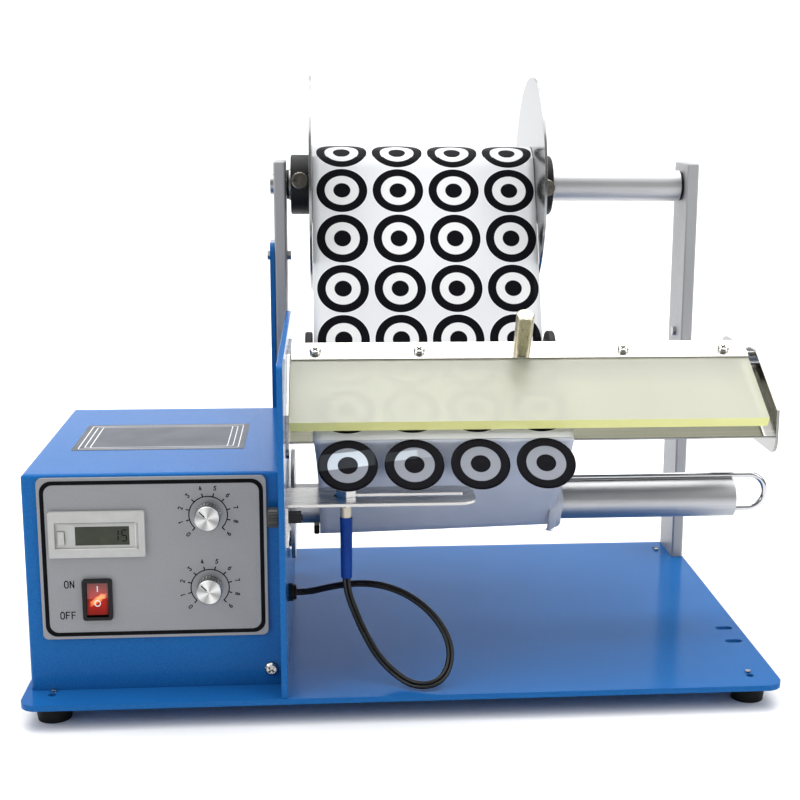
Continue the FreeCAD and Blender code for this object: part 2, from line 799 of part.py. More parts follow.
def clamp_strip():
    x0, x1 = cover_left_x + 0.5, cover_right_x
    strip = tray_slab(x0, x1, strip_front_u, hinge_u + hinge_barrel_d / 2, cover_top_n, strip_top_n)
    back = tray_slab(x0, x1, hinge_u + hinge_barrel_d / 2 - strip_thick, hinge_u + hinge_barrel_d / 2,
                     hinge_n, strip_top_n)
    strip = strip.fuse(back).fuse(cyl_x(x0, x1, hinge_y, hinge_z, hinge_barrel_d))
    strip = strip.cut(cyl_x(x0, x1, hinge_y, hinge_z, hinge_rod_d + 2 * run_gap))
    for x in strip_screw_x + [cover_mid_x]:
        low = tray_point(strip_screw_u, cover_top_n, x)
        strip = strip.cut(Part.makeCylinder(strip_screw_d / 2, strip_thick, low, tray_up))
    return strip.removeSplitter()


def strip_screws():
    screws = []
    for x in strip_screw_x:
        seat = tray_point(strip_screw_u, strip_top_n, x)
        screws.append(pan_screw(seat, tray_up, cover_thick, strip_screw_d, strip_screw_head_d, 2.2))
    return Part.makeCompound(screws)


def lift_pillar():
    seat = tray_point(strip_screw_u, strip_top_n, cover_mid_x)
    pillar = Part.makeCylinder(pillar_d / 2, pillar_height, seat, tray_up)
    rims = [e for e in pillar.Edges if e.Curve.TypeId == "Part::GeomCircle"]
    top = max(rims, key=lambda e: e.Curve.Center.z)
    pillar = pillar.makeChamfer(0.6, [top])
    stud_start = tray_point(strip_screw_u, strip_top_n - cover_thick, cover_mid_x)
    return pillar.fuse(Part.makeCylinder(strip_screw_d / 2, cover_thick, stud_start, tray_up))


# Take-up spool, overhung from the side plate on the gear motor's shaft
bearing_d = 22.0
hub_left_x = spool_left_x


def spool_bearing():
    ring = tube_x(plate_left_x, plate_right_x, spool_y, spool_z, bearing_d, spool_shaft_d + 2 * run_gap)
    return ring


def spool_hub():
    """Inner flange, plug for the tube and the shaft in one turned piece."""
    x0 = hub_left_x
    hub = cyl_x(x0, x0 + spool_flange_t, spool_y, spool_z, spool_flange_d)
    plug_d = spool_d - 2 * spool_wall
    hub = hub.fuse(cyl_x(x0 + spool_flange_t, x0 + spool_flange_t + spool_hub_length, spool_y, spool_z, plug_d))
    return hub.fuse(cyl_x(plate_left_x - 4.0, x0, spool_y, spool_z, spool_shaft_d))


def spool_tube():
    x0 = hub_left_x + spool_flange_t
    return tube_x(x0, spool_right_x, spool_y, spool_z, spool_d, spool_d - 2 * spool_wall)


def wound_liner():
    """Turns of waste liner, wound over the tube and over the clip's upper leg."""
    inner = spool_d + 0.1
    coil = tube_x(liner_left_x, liner_right_x, spool_y, spool_z, liner_roll_d, inner)
    wire = clip_wire_d + 2 * slide_gap
    coil = coil.cut(cyl_x(liner_left_x, liner_right_x, spool_y, clip_upper_z, wire))
    return coil


def hairpin_clip():
    upper = cyl_x(clip_upper_start_x, clip_bend_x, spool_y, clip_upper_z, clip_wire_d)
    lower = cyl_x(clip_lower_start_x, clip_bend_x, spool_y, clip_lower_z, clip_wire_d)
    mid_z = (clip_upper_z + clip_lower_z) / 2
    end = Part.Wire([Part.Circle(V(clip_bend_x, spool_y, clip_upper_z), V(1, 0, 0), clip_wire_d / 2).toShape()])
    bend = Part.Face(end).revolve(V(clip_bend_x, spool_y, mid_z), V(0, 1, 0), 180)
    return upper.fuse(bend).fuse(lower).removeSplitter()


# Sensor bracket: a leg on the side plate and a slotted strip
def sensor_bracket():
    x0 = plate_right_x
    leg = box(x0, bracket_front_y, bracket_leg_bottom_z, x0 + bracket_thick, bracket_rear_y, bracket_top_z)
    strip = box(x0, bracket_strip_front_y, bracket_top_z - bracket_thick, bracket_end_x, bracket_rear_y,
                bracket_top_z)
    far = []
    for e in strip.Edges:
        a, b = e.Vertexes[0].Point, e.Vertexes[1].Point
        if abs(a.z - b.z) > 1 and a.x > bracket_end_x - 1e-6:
            far.append(e)
    strip = strip.makeFillet(bracket_corner_r, far)
    body = leg.fuse(strip)
    low = bracket_top_z - bracket_thick
    half = bracket_slot_w / 2
    slot = box(bracket_slot_x0 + half, bracket_slot_y - half, low, bracket_slot_x1 - half, bracket_slot_y + half,
               bracket_top_z)
    for x in (bracket_slot_x0 + half, bracket_slot_x1 - half):
        slot = slot.fuse(cyl_z(low, bracket_top_z, x, bracket_slot_y, bracket_slot_w))
    body = body.cut(slot)
    body = body.cut(cyl_x(x0, x0 + bracket_thick, clamp_y, clamp_z, clamp_stud_d + 2 * run_gap))
    return body.removeSplitter()


def bracket_block():
    x0 = plate_right_x + bracket_thick
    block = box(x0, clamp_y - clamp_block_d / 2, clamp_z - clamp_block_h / 2, x0 + clamp_block_w,
                clamp_y + clamp_block_d / 2, clamp_z + clamp_block_h / 2)
    stud_end = plate_left_x - slide_gap - clamp_knob_w + clamp_knob_face
    return block.fuse(cyl_x(stud_end, x0 + clamp_block_w + clamp_stud_proud, clamp_y, clamp_z, clamp_stud_d))


def clamp_knob():
    x1 = plate_left_x - slide_gap
    knob = cyl_x(x1 - clamp_knob_w, x1, clamp_y, clamp_z, clamp_knob_d)
    knob = knob.makeChamfer(0.6, [e for e in knob.Edges if e.Curve.TypeId == "Part::GeomCircle"])
    for i in range(16):
        a = math.radians(22.5 * i)
        r = clamp_knob_d / 2 + 0.25
        knob = knob.cut(cyl_x(x1 - clamp_knob_w, x1, clamp_y + r * math.cos(a), clamp_z + r * math.sin(a), 1.1))
    thread = cyl_x(x1 - clamp_knob_w + clamp_knob_face - run_gap, x1, clamp_y, clamp_z,
                   clamp_stud_d + 2 * run_gap)
    return knob.cut(thread)


def sensor_head():
    y = bracket_slot_y
    top = bracket_top_z + sensor_nut_h + 1.2
    barrel = cyl_z(barrel_bottom_z, top, sensor_x, y, barrel_d)
    return barrel.fuse(cyl_z(top, needle_top_z, sensor_x, y, needle_d))


def sensor_nuts():
    y = bracket_slot_y
    nuts = []
    for z in (bracket_top_z + run_gap, bracket_top_z - bracket_thick - sensor_nut_h - run_gap):
        nut = hexagon(sensor_nut_af, sensor_nut_h, V(sensor_x, y, z), V(0, 0, 1))
        nuts.append(nut.cut(cyl_z(z, z + sensor_nut_h, sensor_x, y, barrel_d)))
    return Part.makeCompound(nuts)


def sensor_sleeve():
    height = barrel_bottom_z - sleeve_bottom_z
    return Part.makeCone(sleeve_end_d / 2, sleeve_d / 2, height, V(sensor_x, bracket_slot_y, sleeve_bottom_z))


def cable_grommet():
    y, z = fibre_loop_route[-1][1], fibre_loop_route[-1][2]
    x1 = fibre_loop_route[-1][0]
    body = cyl_x(x1 - grommet_length, x1, y, z, grommet_body_d)
    return body.fuse(cyl_x(plate_right_x, plate_right_x + grommet_flange_t, y, z, grommet_flange_d))


# Control box
def box_cover():
    x0, x1 = box_left_x, box_right_x
    shell = box(x0, box_front_y, 0, x1, box_rear_y, box_height)
    edges = []
    for e in shell.Edges:
        a, b = e.Vertexes[0].Point, e.Vertexes[1].Point
        along_x = abs(a.x - b.x) > 1 and a.z > 1 and a.y < box_front_y + 1
        left_edge = a.x < x0 + 1e-6 and b.x < x0 + 1e-6 and max(a.z, b.z) > 1
        front_or_top = (a.y < box_front_y + 1 and b.y < box_front_y + 1) or min(a.z, b.z) > 1
        if along_x or (left_edge and front_or_top):
            edges.append(e)
    shell = shell.makeFillet(box_edge_r, edges)
    shell = shell.cut(box(x0 + box_sheet, box_front_y + box_sheet, 0, x1, box_rear_y, box_height - box_sheet))
    y0, y1 = box_front_y, box_front_y + box_sheet
    cuts = [
        box(counter_x - counter_body_w / 2, y0, counter_z - counter_body_h / 2,
            counter_x + counter_body_w / 2, y1, counter_z + counter_body_h / 2),
        box(switch_x - switch_body_w / 2, y0, switch_z - switch_body_h / 2,
            switch_x + switch_body_w / 2, y1, switch_z + switch_body_h / 2),
        cyl_y(y0, y1, knob_x, length_knob_z, pot_bush_d),
        cyl_y(y0, y1, knob_x, speed_knob_z, pot_bush_d),
        cyl_y(y0, y1, box_screw_x, box_screw_z, screw_d),
    ]
    for hole in cuts:
        shell = shell.cut(hole)
    return shell


def box_rear_panel():
    inner = box_sheet
    panel = box(box_left_x + inner, box_rear_y - box_sheet, 0, box_right_x, box_rear_y, box_height - inner)
    panel = panel.cut(box(inlet_x - inlet_w / 2, box_rear_y - box_sheet, inlet_z - inlet_h / 2,
                          inlet_x + inlet_w / 2, box_rear_y, inlet_z + inlet_h / 2))
    panel = panel.cut(box(plate_left_x - plate_foot_w, box_rear_y - box_sheet, 0, box_right_x, box_rear_y,
                          plate_thick))
    lug = box(box_right_x - lug_width, box_front_y + box_sheet, 0, box_right_x, box_front_y + 2 * box_sheet, 16)
    lug = lug.cut(cyl_y(box_front_y, box_front_y + 4, box_screw_x, box_screw_z, screw_d))
    lug_foot = box(box_right_x - lug_width, box_front_y + 2 * box_sheet, 0, box_right_x, box_front_y + 9, box_sheet)
    vents = []
    for i in range(8):
        x = box_left_x + 22 + i * 7.0
        vents.append(box(x, box_rear_y - box_sheet, 70, x + 3.0, box_rear_y, 100))
    for vent in vents:
        panel = panel.cut(vent)
    return Part.makeCompound([panel, lug.fuse(lug_foot).removeSplitter()])


def power_inlet():
    """A recessed three-pin mains inlet."""
    x0, x1 = inlet_x - inlet_w / 2, inlet_x + inlet_w / 2
    z0, z1 = inlet_z - inlet_h / 2, inlet_z + inlet_h / 2
    y = box_rear_y
    flange = rounded_box(x0 - inlet_flange, y, z0 - inlet_flange, x1 + inlet_flange, y + 2.5,
                         z1 + inlet_flange, 2.5, "y")
    body = flange.fuse(box(x0, y - inlet_depth, z0, x1, y, z1))
    body = body.cut(box(x0 + 2, y - inlet_depth + 4, z0 + 2, x1 - 2, y + 2.5, z1 - 2))
    for dx, dz in ((-7, -1.5), (0, 3), (7, -1.5)):
        pin = box(inlet_x + dx - 1, y - inlet_depth + 2, inlet_z + dz - 2.5,
                  inlet_x + dx + 1, y - 4, inlet_z + dz + 2.5)
        body = body.fuse(pin)
    return body


def fascia_plate():
    x0, z0 = fascia_left_x, fascia_bottom_z
    plate = rounded_box(x0, fascia_front_y, z0, x0 + fascia_width, box_front_y, z0 + fascia_height,
                        fascia_corner_r, "y")
    y0, y1 = fascia_front_y, box_front_y
    holes = [
        box(counter_x - counter_body_w / 2, y0, counter_z - counter_body_h / 2,
            counter_x + counter_body_w / 2, y1, counter_z + counter_body_h / 2),
        box(switch_x - switch_body_w / 2, y0, switch_z - switch_body_h / 2,
            switch_x + switch_body_w / 2, y1, switch_z + switch_body_h / 2),
        cyl_y(y0, y1, knob_x, length_knob_z, pot_bush_d),
        cyl_y(y0, y1, knob_x, speed_knob_z, pot_bush_d),
    ]
    for hole in holes:
        plate = plate.cut(hole)
    return plate


def counter_case():
    x0, x1 = counter_x - counter_width / 2, counter_x + counter_width / 2
    z0, z1 = counter_z - counter_height / 2, counter_z + counter_height / 2
    front = fascia_front_y - counter_bezel
    case = rounded_box(x0, front, z0, x1, fascia_front_y, z1, 1.0, "y")
    case = case.fuse(box(counter_x - counter_body_w / 2, fascia_front_y, counter_z - counter_body_h / 2,
                         counter_x + counter_body_w / 2, fascia_front_y + counter_body_depth,
                         counter_z + counter_body_h / 2))
    recess = box(counter_x - counter_recess_w / 2, front, window_z - counter_recess_h / 2,
                 counter_x + counter_recess_w / 2, front + counter_recess_depth, window_z + counter_recess_h / 2)
    case = case.cut(recess)
    pocket_y = front + counter_recess_depth
    case = case.cut(box(window_x - window_w / 2, pocket_y, window_z - window_h / 2,
                        window_x + window_w / 2, pocket_y + 1.2, window_z + window_h / 2))
    gap = slide_gap
    case = case.cut(box(reset_x - reset_w / 2 - gap, pocket_y, reset_z - reset_h / 2 - gap,
                        reset_x + reset_w / 2 + gap, pocket_y + 4.0, reset_z + reset_h / 2 + gap))
    return case


def counter_window():
    y0 = fascia_front_y - counter_bezel + counter_recess_depth
    return box(window_x - window_w / 2, y0, window_z - window_h / 2,
               window_x + window_w / 2, y0 + 1.2, window_z + window_h / 2)


def reset_button():
    y0 = fascia_front_y - counter_bezel + counter_recess_depth - reset_stand
    return box(reset_x - reset_w / 2, y0, reset_z - reset_h / 2,
               reset_x + reset_w / 2, y0 + reset_stand + 4.0 - reset_travel - 0.3, reset_z + reset_h / 2)


rocker_pivot_y = fascia_front_y + 2.0


def switch_housing():
    w, h = switch_bezel_w / 2, switch_bezel_h / 2
    frame = rounded_box(switch_x - w, fascia_front_y - switch_bezel_t, switch_z - h, switch_x + w,
                        fascia_front_y, switch_z + h, 1.5, "y")
    body = box(switch_x - switch_body_w / 2, fascia_front_y, switch_z - switch_body_h / 2,
               switch_x + switch_body_w / 2, fascia_front_y + switch_body_depth, switch_z + switch_body_h / 2)
    body = frame.fuse(body)
    w, h = rocker_w / 2 + slide_gap, rocker_h / 2 + 0.9
    well = box(switch_x - w, fascia_front_y - switch_bezel_t, switch_z - h, switch_x + w, fascia_front_y + 9.0,
               switch_z + h)
    body = body.cut(well)
    pin = cyl_x(switch_x - w, switch_x + w, rocker_pivot_y, switch_z, 2.0)
    return body.fuse(pin)


def switch_rocker():
    """A V-faced rocker, drawn with its upper half pressed in."""
    w, h = rocker_w / 2, rocker_h / 2
    face_y = fascia_front_y - switch_bezel_t + 0.6
    outline = [(face_y, h), (face_y + 0.9, 0), (face_y, -h), (rocker_pivot_y + 2.4, -h * 0.72),
               (rocker_pivot_y + 2.4, h * 0.72)]
    rocker = plate_yz([(y, switch_z + z) for y, z in outline], switch_x - w, switch_x + w)
    rocker = rocker.cut(cyl_x(switch_x - w, switch_x + w, rocker_pivot_y, switch_z, 2.0 + 2 * run_gap))
    rocker.rotate(V(switch_x, rocker_pivot_y, switch_z), V(1, 0, 0), -rocker_tilt)
    return rocker


def dial_knob(z):
    """A turned knob with a knurled skirt and a raised face."""
    y1 = fascia_front_y - knob_gap
    skirt = cyl_y(y1 - knob_height, y1, knob_x, z, knob_d)
    rims = [e for e in skirt.Edges if e.Curve.TypeId == "Part::GeomCircle"]
    front = min(rims, key=lambda e: e.Curve.Center.y)
    skirt = skirt.makeChamfer((knob_d - knob_face_d) / 2, [front])
    for i in range(24):
        a = math.radians(15 * i)
        r = knob_d / 2 + 0.2
        skirt = skirt.cut(cyl_y(y1 - knob_height + 1.2, y1 - 1.0, knob_x + r * math.cos(a), z + r * math.sin(a), 0.9))
    return skirt.cut(cyl_y(y1 - knob_height + 2.0, y1, knob_x, z, pot_shaft_d + 2 * run_gap))


def potentiometers():
    pots = []
    for z in (length_knob_z, speed_knob_z):
        inside = box_front_y + box_sheet
        body = cyl_y(inside, inside + pot_body_depth, knob_x, z, pot_body_d)
        bush = cyl_y(fascia_front_y, inside, knob_x, z, pot_bush_d)
        shaft = cyl_y(fascia_front_y - knob_gap - knob_height + 2.5, fascia_front_y, knob_x, z, pot_shaft_d)
        pots.append(body.fuse(bush).fuse(shaft))
    return Part.makeCompound(pots)


# Gear motor: gearbox on the side plate, motor can behind it
gearbox_z = spool_z - motor_shaft_offset
gearbox_screw_places = []
for k in range(motor_screw_count):
    a = math.radians(60 * k + 30)
    gearbox_screw_places.append((spool_y + motor_screw_circle / 2 * math.cos(a),
                                 gearbox_z + motor_screw_circle / 2 * math.sin(a)))
gearbox_screw_places = [p for p in gearbox_screw_places
                        if math.hypot(p[0] - spool_y, p[1] - spool_z) > bearing_d / 2 + screw_d / 2 + 0.5]
cheek_screw_places = [(tray_front_y + 22.0, cheek_bottom_z + 9.0), (guide_y - 20.0, cheek_top_z - 20.0)]


def gear_motor():
    x1 = plate_left_x
    gearbox = cyl_x(x1 - gearbox_length, x1, spool_y, gearbox_z, gearbox_d)
    gearbox = gearbox.cut(cyl_x(x1 - 4.5, x1, spool_y, spool_z, spool_shaft_d + 2 * run_gap))
    for y, z in gearbox_screw_places:
        gearbox = gearbox.cut(cyl_x(x1 - 5.0, x1, y, z, screw_d))
    x0 = x1 - gearbox_length
    can = cyl_x(x0 - motor_length, x0, spool_y, gearbox_z, motor_d)
    boss = cyl_x(x0 - motor_length - 3, x0 - motor_length, spool_y, gearbox_z, motor_boss_d)
    return gearbox.fuse(can).fuse(boss)


def pan_screws():
    """All the identical pan-head screws: feet, box front, tray cheek and gearbox."""
    screws = []
    for x, y in foot_places:
        screws.append(pan_screw(V(x, y, foot_seat_z), V(0, 0, -1), foot_screw_tip - foot_seat_z, foot_screw_d))
    screws.append(pan_screw(V(box_screw_x, box_front_y, box_screw_z), V(0, -1, 0), 2 * box_sheet + 2.0))
    for y, z in cheek_screw_places:
        screws.append(pan_screw(V(tray_inner_left_x, y, z), V(1, 0, 0), tray_thick + plate_thick + 1.0))
    for y, z in gearbox_screw_places:
        screws.append(pan_screw(V(plate_right_x, y, z), V(1, 0, 0), plate_thick + 5.0, screw_d, screw_d + 1.6, 0.9))
    return Part.makeCompound(screws)


def control_board():
    x0, y0 = board_x0, board_y0
    x1, y1 = x0 + board_width, y0 + board_depth
    z = standoff_height
    board = box(x0, y0, z, x1, y1, z + board_thick)
    pieces = [board]
    for x in (x0 + standoff_inset, x1 - standoff_inset):
        for y in (y0 + standoff_inset, y1 - standoff_inset):
            pieces.append(cyl_z(0, z, x, y, standoff_d))
    top = z + board_thick
    tx, ty, tz = transformer_size
    pieces.append(box(x0 + 6, y0 + 12, top, x0 + 6 + tx, y0 + 12 + ty, top + tz))
    for i in range(2):
        pieces.append(cyl_z(top, top + 16, x0 + 52, y0 + 20 + 16 * i, 10))
    pieces.append(box(x0 + 48, y0 + 60, top, x0 + 72, y0 + 72, top + 9))
    return Part.makeCompound(pieces)


def fibre_amplifier():
    w, d, h = amplifier_size
    body = box(amplifier_x0, amplifier_y0, 0, amplifier_x0 + w, amplifier_y0 + d, h)
    return body.cut(box(amplifier_x0, amplifier_y0 + 6, h - 3, amplifier_x0 + w, amplifier_y0 + d - 6, h))


nodes = {
    "base_plate": base_plate(),
    "rubber_feet": rubber_feet(),
    "side_plate": side_plate(),
    "rear_riser": rear_riser(),
    "left_post": post(left_post_x, left_bolt_z),
    "right_post": post(right_post_x, (right_bolt_z,)),
    "post_bolts": post_bolts(),
    "axle_pins": axle_pins(),
    "supply_shaft": supply_shaft(),
    "shaft_bushes": shaft_bushes(),
    "left_disc": reel_disc(left_disc_x),
    "right_disc": reel_disc(right_disc_x),
    "left_collar": reel_collar(left_collar_x, 1, 0.0, left_thumb_tilt),
    "right_collar": reel_collar(right_collar_x, -1, run_gap, 0.0),
    "left_thumb_screw": thumb_screw(left_collar_x + collar_width / 2, left_thumb_tilt),
    "right_thumb_screw": thumb_screw(right_collar_x + collar_width / 2, 0.0),
    "roll_core": tube_x(web_left_x, web_right_x, shaft_y, shaft_z, core_d, core_bore),
    "label_roll": tube_x(web_left_x, web_right_x, shaft_y, shaft_z, roll_d, core_d),
    "label_web": label_web(),
    "waste_liner": waste_liner(),
    "dispensed_labels": dispensed_labels(),
    "guide_rod": guide_rod(),
    "left_guide_ring": guide_ring(web_left_x - ring_web_gap - ring_width),
    "right_guide_ring": guide_ring(web_right_x + ring_web_gap),
    "label_tray": label_tray(),
    "cover_hinge_rod": cover_hinge_rod(),
    "acrylic_cover": acrylic_cover(),
    "clamp_strip": clamp_strip(),
    "strip_screws": strip_screws(),
    "lift_pillar": lift_pillar(),
    "spool_bearing": spool_bearing(),
    "spool_hub": spool_hub(),
    "spool_tube": spool_tube(),
    "wound_liner": wound_liner(),
    "hairpin_clip": hairpin_clip(),
    "sensor_bracket": sensor_bracket(),
    "bracket_block": bracket_block(),
    "clamp_knob": clamp_knob(),
    "sensor_head": sensor_head(),
    "sensor_nuts": sensor_nuts(),
    "sensor_sleeve": sensor_sleeve(),
    "fibre_drop": cord_tube(fibre_drop_route, fibre_d),
    "fibre_loop": cord_tube(fibre_loop_route, fibre_d),
    "cable_grommet": cable_grommet(),
    "box_cover": box_cover(),
    "box_rear_panel": box_rear_panel(),
    "power_inlet": power_inlet(),
    "fascia_plate": fascia_plate(),
    "counter_case": counter_case(),
    "counter_window": counter_window(),
    "reset_button": reset_button(),
    "switch_housing": switch_housing(),
    "switch_rocker": switch_rocker(),
    "length_knob": dial_knob(length_knob_z),
    "speed_knob": dial_knob(speed_knob_z),
    "potentiometers": potentiometers(),
    "gear_motor": gear_motor(),
    "pan_screws": pan_screws(),
    "control_board": control_board(),
    "fibre_amplifier": fibre_amplifier(),
}

for name, shape in nodes.items():
    placed = shape.copy()
    placed.translate(offset)
    placed.exportStep("parts/%s.step" % name)
    low, high = placed.BoundBox, placed.BoundBox
    print("%-20s solids %d valid %s  %.1f %.1f %.1f  %.1f %.1f %.1f"
          % (name, len(placed.Solids), placed.isValid(), low.XMin, low.YMin, low.ZMin,
             high.XMax, high.YMax, high.ZMax))
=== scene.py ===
import math
import random

import bmesh
import bpy
from mathutils import Matrix, Vector


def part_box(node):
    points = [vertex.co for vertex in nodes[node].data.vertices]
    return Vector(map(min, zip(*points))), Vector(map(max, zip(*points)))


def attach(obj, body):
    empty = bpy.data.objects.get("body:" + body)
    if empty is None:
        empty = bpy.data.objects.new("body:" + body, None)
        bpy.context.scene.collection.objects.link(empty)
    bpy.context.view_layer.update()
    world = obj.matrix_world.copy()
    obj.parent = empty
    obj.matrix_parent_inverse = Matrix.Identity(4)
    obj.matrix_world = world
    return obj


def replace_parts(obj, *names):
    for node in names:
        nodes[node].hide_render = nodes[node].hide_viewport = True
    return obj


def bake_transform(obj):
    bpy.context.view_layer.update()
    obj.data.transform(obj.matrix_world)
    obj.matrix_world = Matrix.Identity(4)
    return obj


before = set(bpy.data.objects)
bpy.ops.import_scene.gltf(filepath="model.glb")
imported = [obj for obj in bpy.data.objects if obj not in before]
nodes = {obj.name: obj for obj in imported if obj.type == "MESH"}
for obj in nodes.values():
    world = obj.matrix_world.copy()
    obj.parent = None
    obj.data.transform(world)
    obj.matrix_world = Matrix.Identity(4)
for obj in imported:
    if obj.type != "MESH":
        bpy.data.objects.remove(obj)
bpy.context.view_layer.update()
random.seed(7)

# Layout in millimetres, as the part is drawn: x = 0 is the middle of the base, y = 0 its front edge,
# z = 0 its top face
base_low, base_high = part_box("base_plate")
layout_origin = Vector(((base_low.x + base_high.x) / 2, base_low.y, base_high.z))


def at(x, y, z):
    return layout_origin + Vector((x, y, z)) / 1000


# Camera at the photograph's angle
camera_place = (-41.5, -673.9, 297.0)
camera_yaw = math.radians(5.14)
camera_pitch = math.radians(11.81)
camera_roll = math.radians(0.49)
camera_lens = 63.0
camera_shift = -0.0625


def make_camera():
    data = bpy.data.cameras.new("camera")
    data.lens = camera_lens
    data.sensor_width = 36.0
    data.shift_x = camera_shift
    data.clip_start = 0.01
    data.clip_end = 50
    cam = bpy.data.objects.new("camera", data)
    bpy.context.scene.collection.objects.link(cam)
    sy, cy = math.sin(camera_yaw), math.cos(camera_yaw)
    sp, cp = math.sin(camera_pitch), math.cos(camera_pitch)
    forward = Vector((sy * cp, cy * cp, -sp))
    right = Vector((cy, -sy, 0))
    up = right.cross(forward)
    sr, cr = math.sin(camera_roll), math.cos(camera_roll)
    x_way = right * cr + up * sr
    y_way = up * cr - right * sr
    turn = Matrix((x_way, y_way, -forward)).transposed().to_4x4()
    cam.matrix_world = Matrix.Translation(at(*camera_place)) @ turn
    bpy.context.scene.camera = cam
    bpy.context.scene.view_settings.view_transform = "Standard"


make_camera()


# Mesh helpers
def add(name, verts, faces, body=None, mat=None, smooth=False, uvs=None):
    """A mesh object in the frame's metres. uvs holds one pair per vertex."""
    mesh = bpy.data.meshes.new(name)
    mesh.from_pydata([tuple(v) for v in verts], [], faces)
    mesh.validate()
    if smooth:
        mesh.polygons.foreach_set("use_smooth", [True] * len(mesh.polygons))
    if uvs:
        layer = mesh.uv_layers.new(name="UVMap")
        for loop in mesh.loops:
            layer.data[loop.index].uv = uvs[loop.vertex_index]
    obj = bpy.data.objects.new(name, mesh)
    bpy.context.scene.collection.objects.link(obj)
    if mat:
        mesh.materials.append(mat)
    if body:
        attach(obj, body)
    return obj


def grid_faces(rows, cols, wrap_rows=False, wrap_cols=False):
    faces = []
    for i in range(rows if wrap_rows else rows - 1):
        for j in range(cols if wrap_cols else cols - 1):
            a, b = i * cols + j, i * cols + (j + 1) % cols
            c, d = ((i + 1) % rows) * cols + (j + 1) % cols, ((i + 1) % rows) * cols + j
            faces.append((a, b, c, d))
    return faces


def thicken(obj, thickness, offset=0.0):
    mod = obj.modifiers.new("thickness", "SOLIDIFY")
    mod.thickness = thickness
    mod.offset = offset
    return obj


# Fibre cable: the route's points are those of the part's own cable, in millimetres
fibre_joint = (-9.0, 16.8, 7.4)
fibre_drop_route = [
    (-32.0, 32.0, 54.0), (-32.0, 32.0, 47.4), (-28.2, 31.6, 36.0), (-22.8, 28.8, 23.6), (-15.0, 22.0, 11.4),
    fibre_joint,
]
fibre_loop_route = [
    fibre_joint, (-3.0, 11.6, 3.4), (6.6, 5.0, 2.8), (15.6, 6.6, 4.4), (21.4, 14.0, 9.6),
    (22.6, 22.6, 17.6), (18.8, 29.8, 25.8), (11.2, 36.4, 33.6), (1.4, 42.0, 39.6), (-10.0, 46.8, 43.2),
    (-22.0, 50.6, 44.0), (-34.0, 54.2, 42.0), (-44.0, 57.6, 39.0), (-52.2, 59.6, 36.4), (-59.0, 59.6, 36.4),
]
strand_d = 0.0021


def spline_points(name, route, resolution=24):
    """Points along the smooth line that a route's points control."""
    curve = bpy.data.curves.new(name + "_line", "CURVE")
    curve.dimensions = "3D"
    spline = curve.splines.new("NURBS")
    spline.points.add(len(route) - 1)
    for p, place in zip(spline.points, route):
        p.co = (*at(*place), 1.0)
    spline.order_u = 3
    spline.use_endpoint_u = True
    curve.resolution_u = resolution
    obj = bpy.data.objects.new(name + "_line", curve)
    bpy.context.scene.collection.objects.link(obj)
    bpy.context.view_layer.update()
    mesh = bpy.data.meshes.new_from_object(obj.evaluated_get(bpy.context.evaluated_depsgraph_get()))
    points = [v.co.copy() for v in mesh.vertices]
    bpy.data.objects.remove(obj)
    bpy.data.meshes.remove(mesh)
    return points


def twin_strands(name, route, mat, first_side):
    """Two strands side by side along the route, as one mesh. Returns the piece, its path and its last side."""
    path = spline_points(name, route)
    verts, faces = [], []
    side = first_side
    rings = []
    for i, p in enumerate(path):
        along = (path[min(i + 1, len(path) - 1)] - path[max(i - 1, 0)]).normalized()
        side = (side - along * side.dot(along)).normalized()
        rings.append((p, side.copy(), along.cross(side)))
    for way in (-1, 1):
        start = len(verts)
        for p, s, t in rings:
            centre = p + s * way * strand_d / 2
            for k in range(12):
                a = math.tau * k / 12
                verts.append(centre + (s * math.cos(a) + t * math.sin(a)) * strand_d / 2)
        faces += [tuple(start + q for q in f) for f in grid_faces(len(rings), 12, wrap_cols=True)]
        faces.append(tuple(range(start, start + 12)))
        faces.append(tuple(range(start + 12 * (len(rings) - 1), start + 12 * len(rings)))[::-1])
    obj = add(name, verts, faces, mat=mat, smooth=True)
    return obj, path, side


# Material helpers
def new_material(name, **sockets):
    mat = bpy.data.materials.new(name)
    mat.use_nodes = True
    shader = mat.node_tree.nodes["Principled BSDF"]
    for key, value in sockets.items():
        shader.inputs[key.replace("_", " ")].default_value = value
    return mat, mat.node_tree, shader


def put(tree, kind, inputs=None, **settings):
    """A node; inputs maps a socket's name or number to a value or to another socket."""
    made = tree.nodes.new(kind)
    for key, value in settings.items():
        setattr(made, key, value)
    for key, value in (inputs or {}).items():
        if isinstance(value, bpy.types.NodeSocket):
            tree.links.new(value, made.inputs[key])
        else:
            made.inputs[key].default_value = value
    return made


def coords(tree, stretch=(1, 1, 1), kind="Object"):
    source = put(tree, "ShaderNodeTexCoord").outputs[kind]
    return put(tree, "ShaderNodeMapping", {"Vector": source, "Scale": stretch}).outputs[0]


def noise(tree, scale, detail=2.0, rough=0.5, stretch=(1, 1, 1), kind="Object"):
    return put(tree, "ShaderNodeTexNoise", {"Vector": coords(tree, stretch, kind), "Scale": scale,
                                            "Detail": detail, "Roughness": rough}).outputs["Fac"]


def maths(tree, what, a, b=0.0, c=0.0):
    return put(tree, "ShaderNodeMath", {0: a, 1: b, 2: c}, operation=what).outputs[0]


def spread(tree, value, low, high, new_low=0.0, new_high=1.0):
    return put(tree, "ShaderNodeMapRange", {"Value": value, "From Min": low, "From Max": high,
                                            "To Min": new_low, "To Max": new_high}).outputs[0]


def blend_colours(tree, fac, a, b, how="MIX"):
    node = put(tree, "ShaderNodeMix", {0: fac, 6: a, 7: b}, data_type="RGBA", blend_type=how)
    return node.outputs[2]


def bump(tree, height, distance, strength=1.0, normal=None):
    inputs = {"Height": height, "Distance": distance, "Strength": strength}
    if normal:
        inputs["Normal"] = normal
    return put(tree, "ShaderNodeBump", inputs).outputs[0]


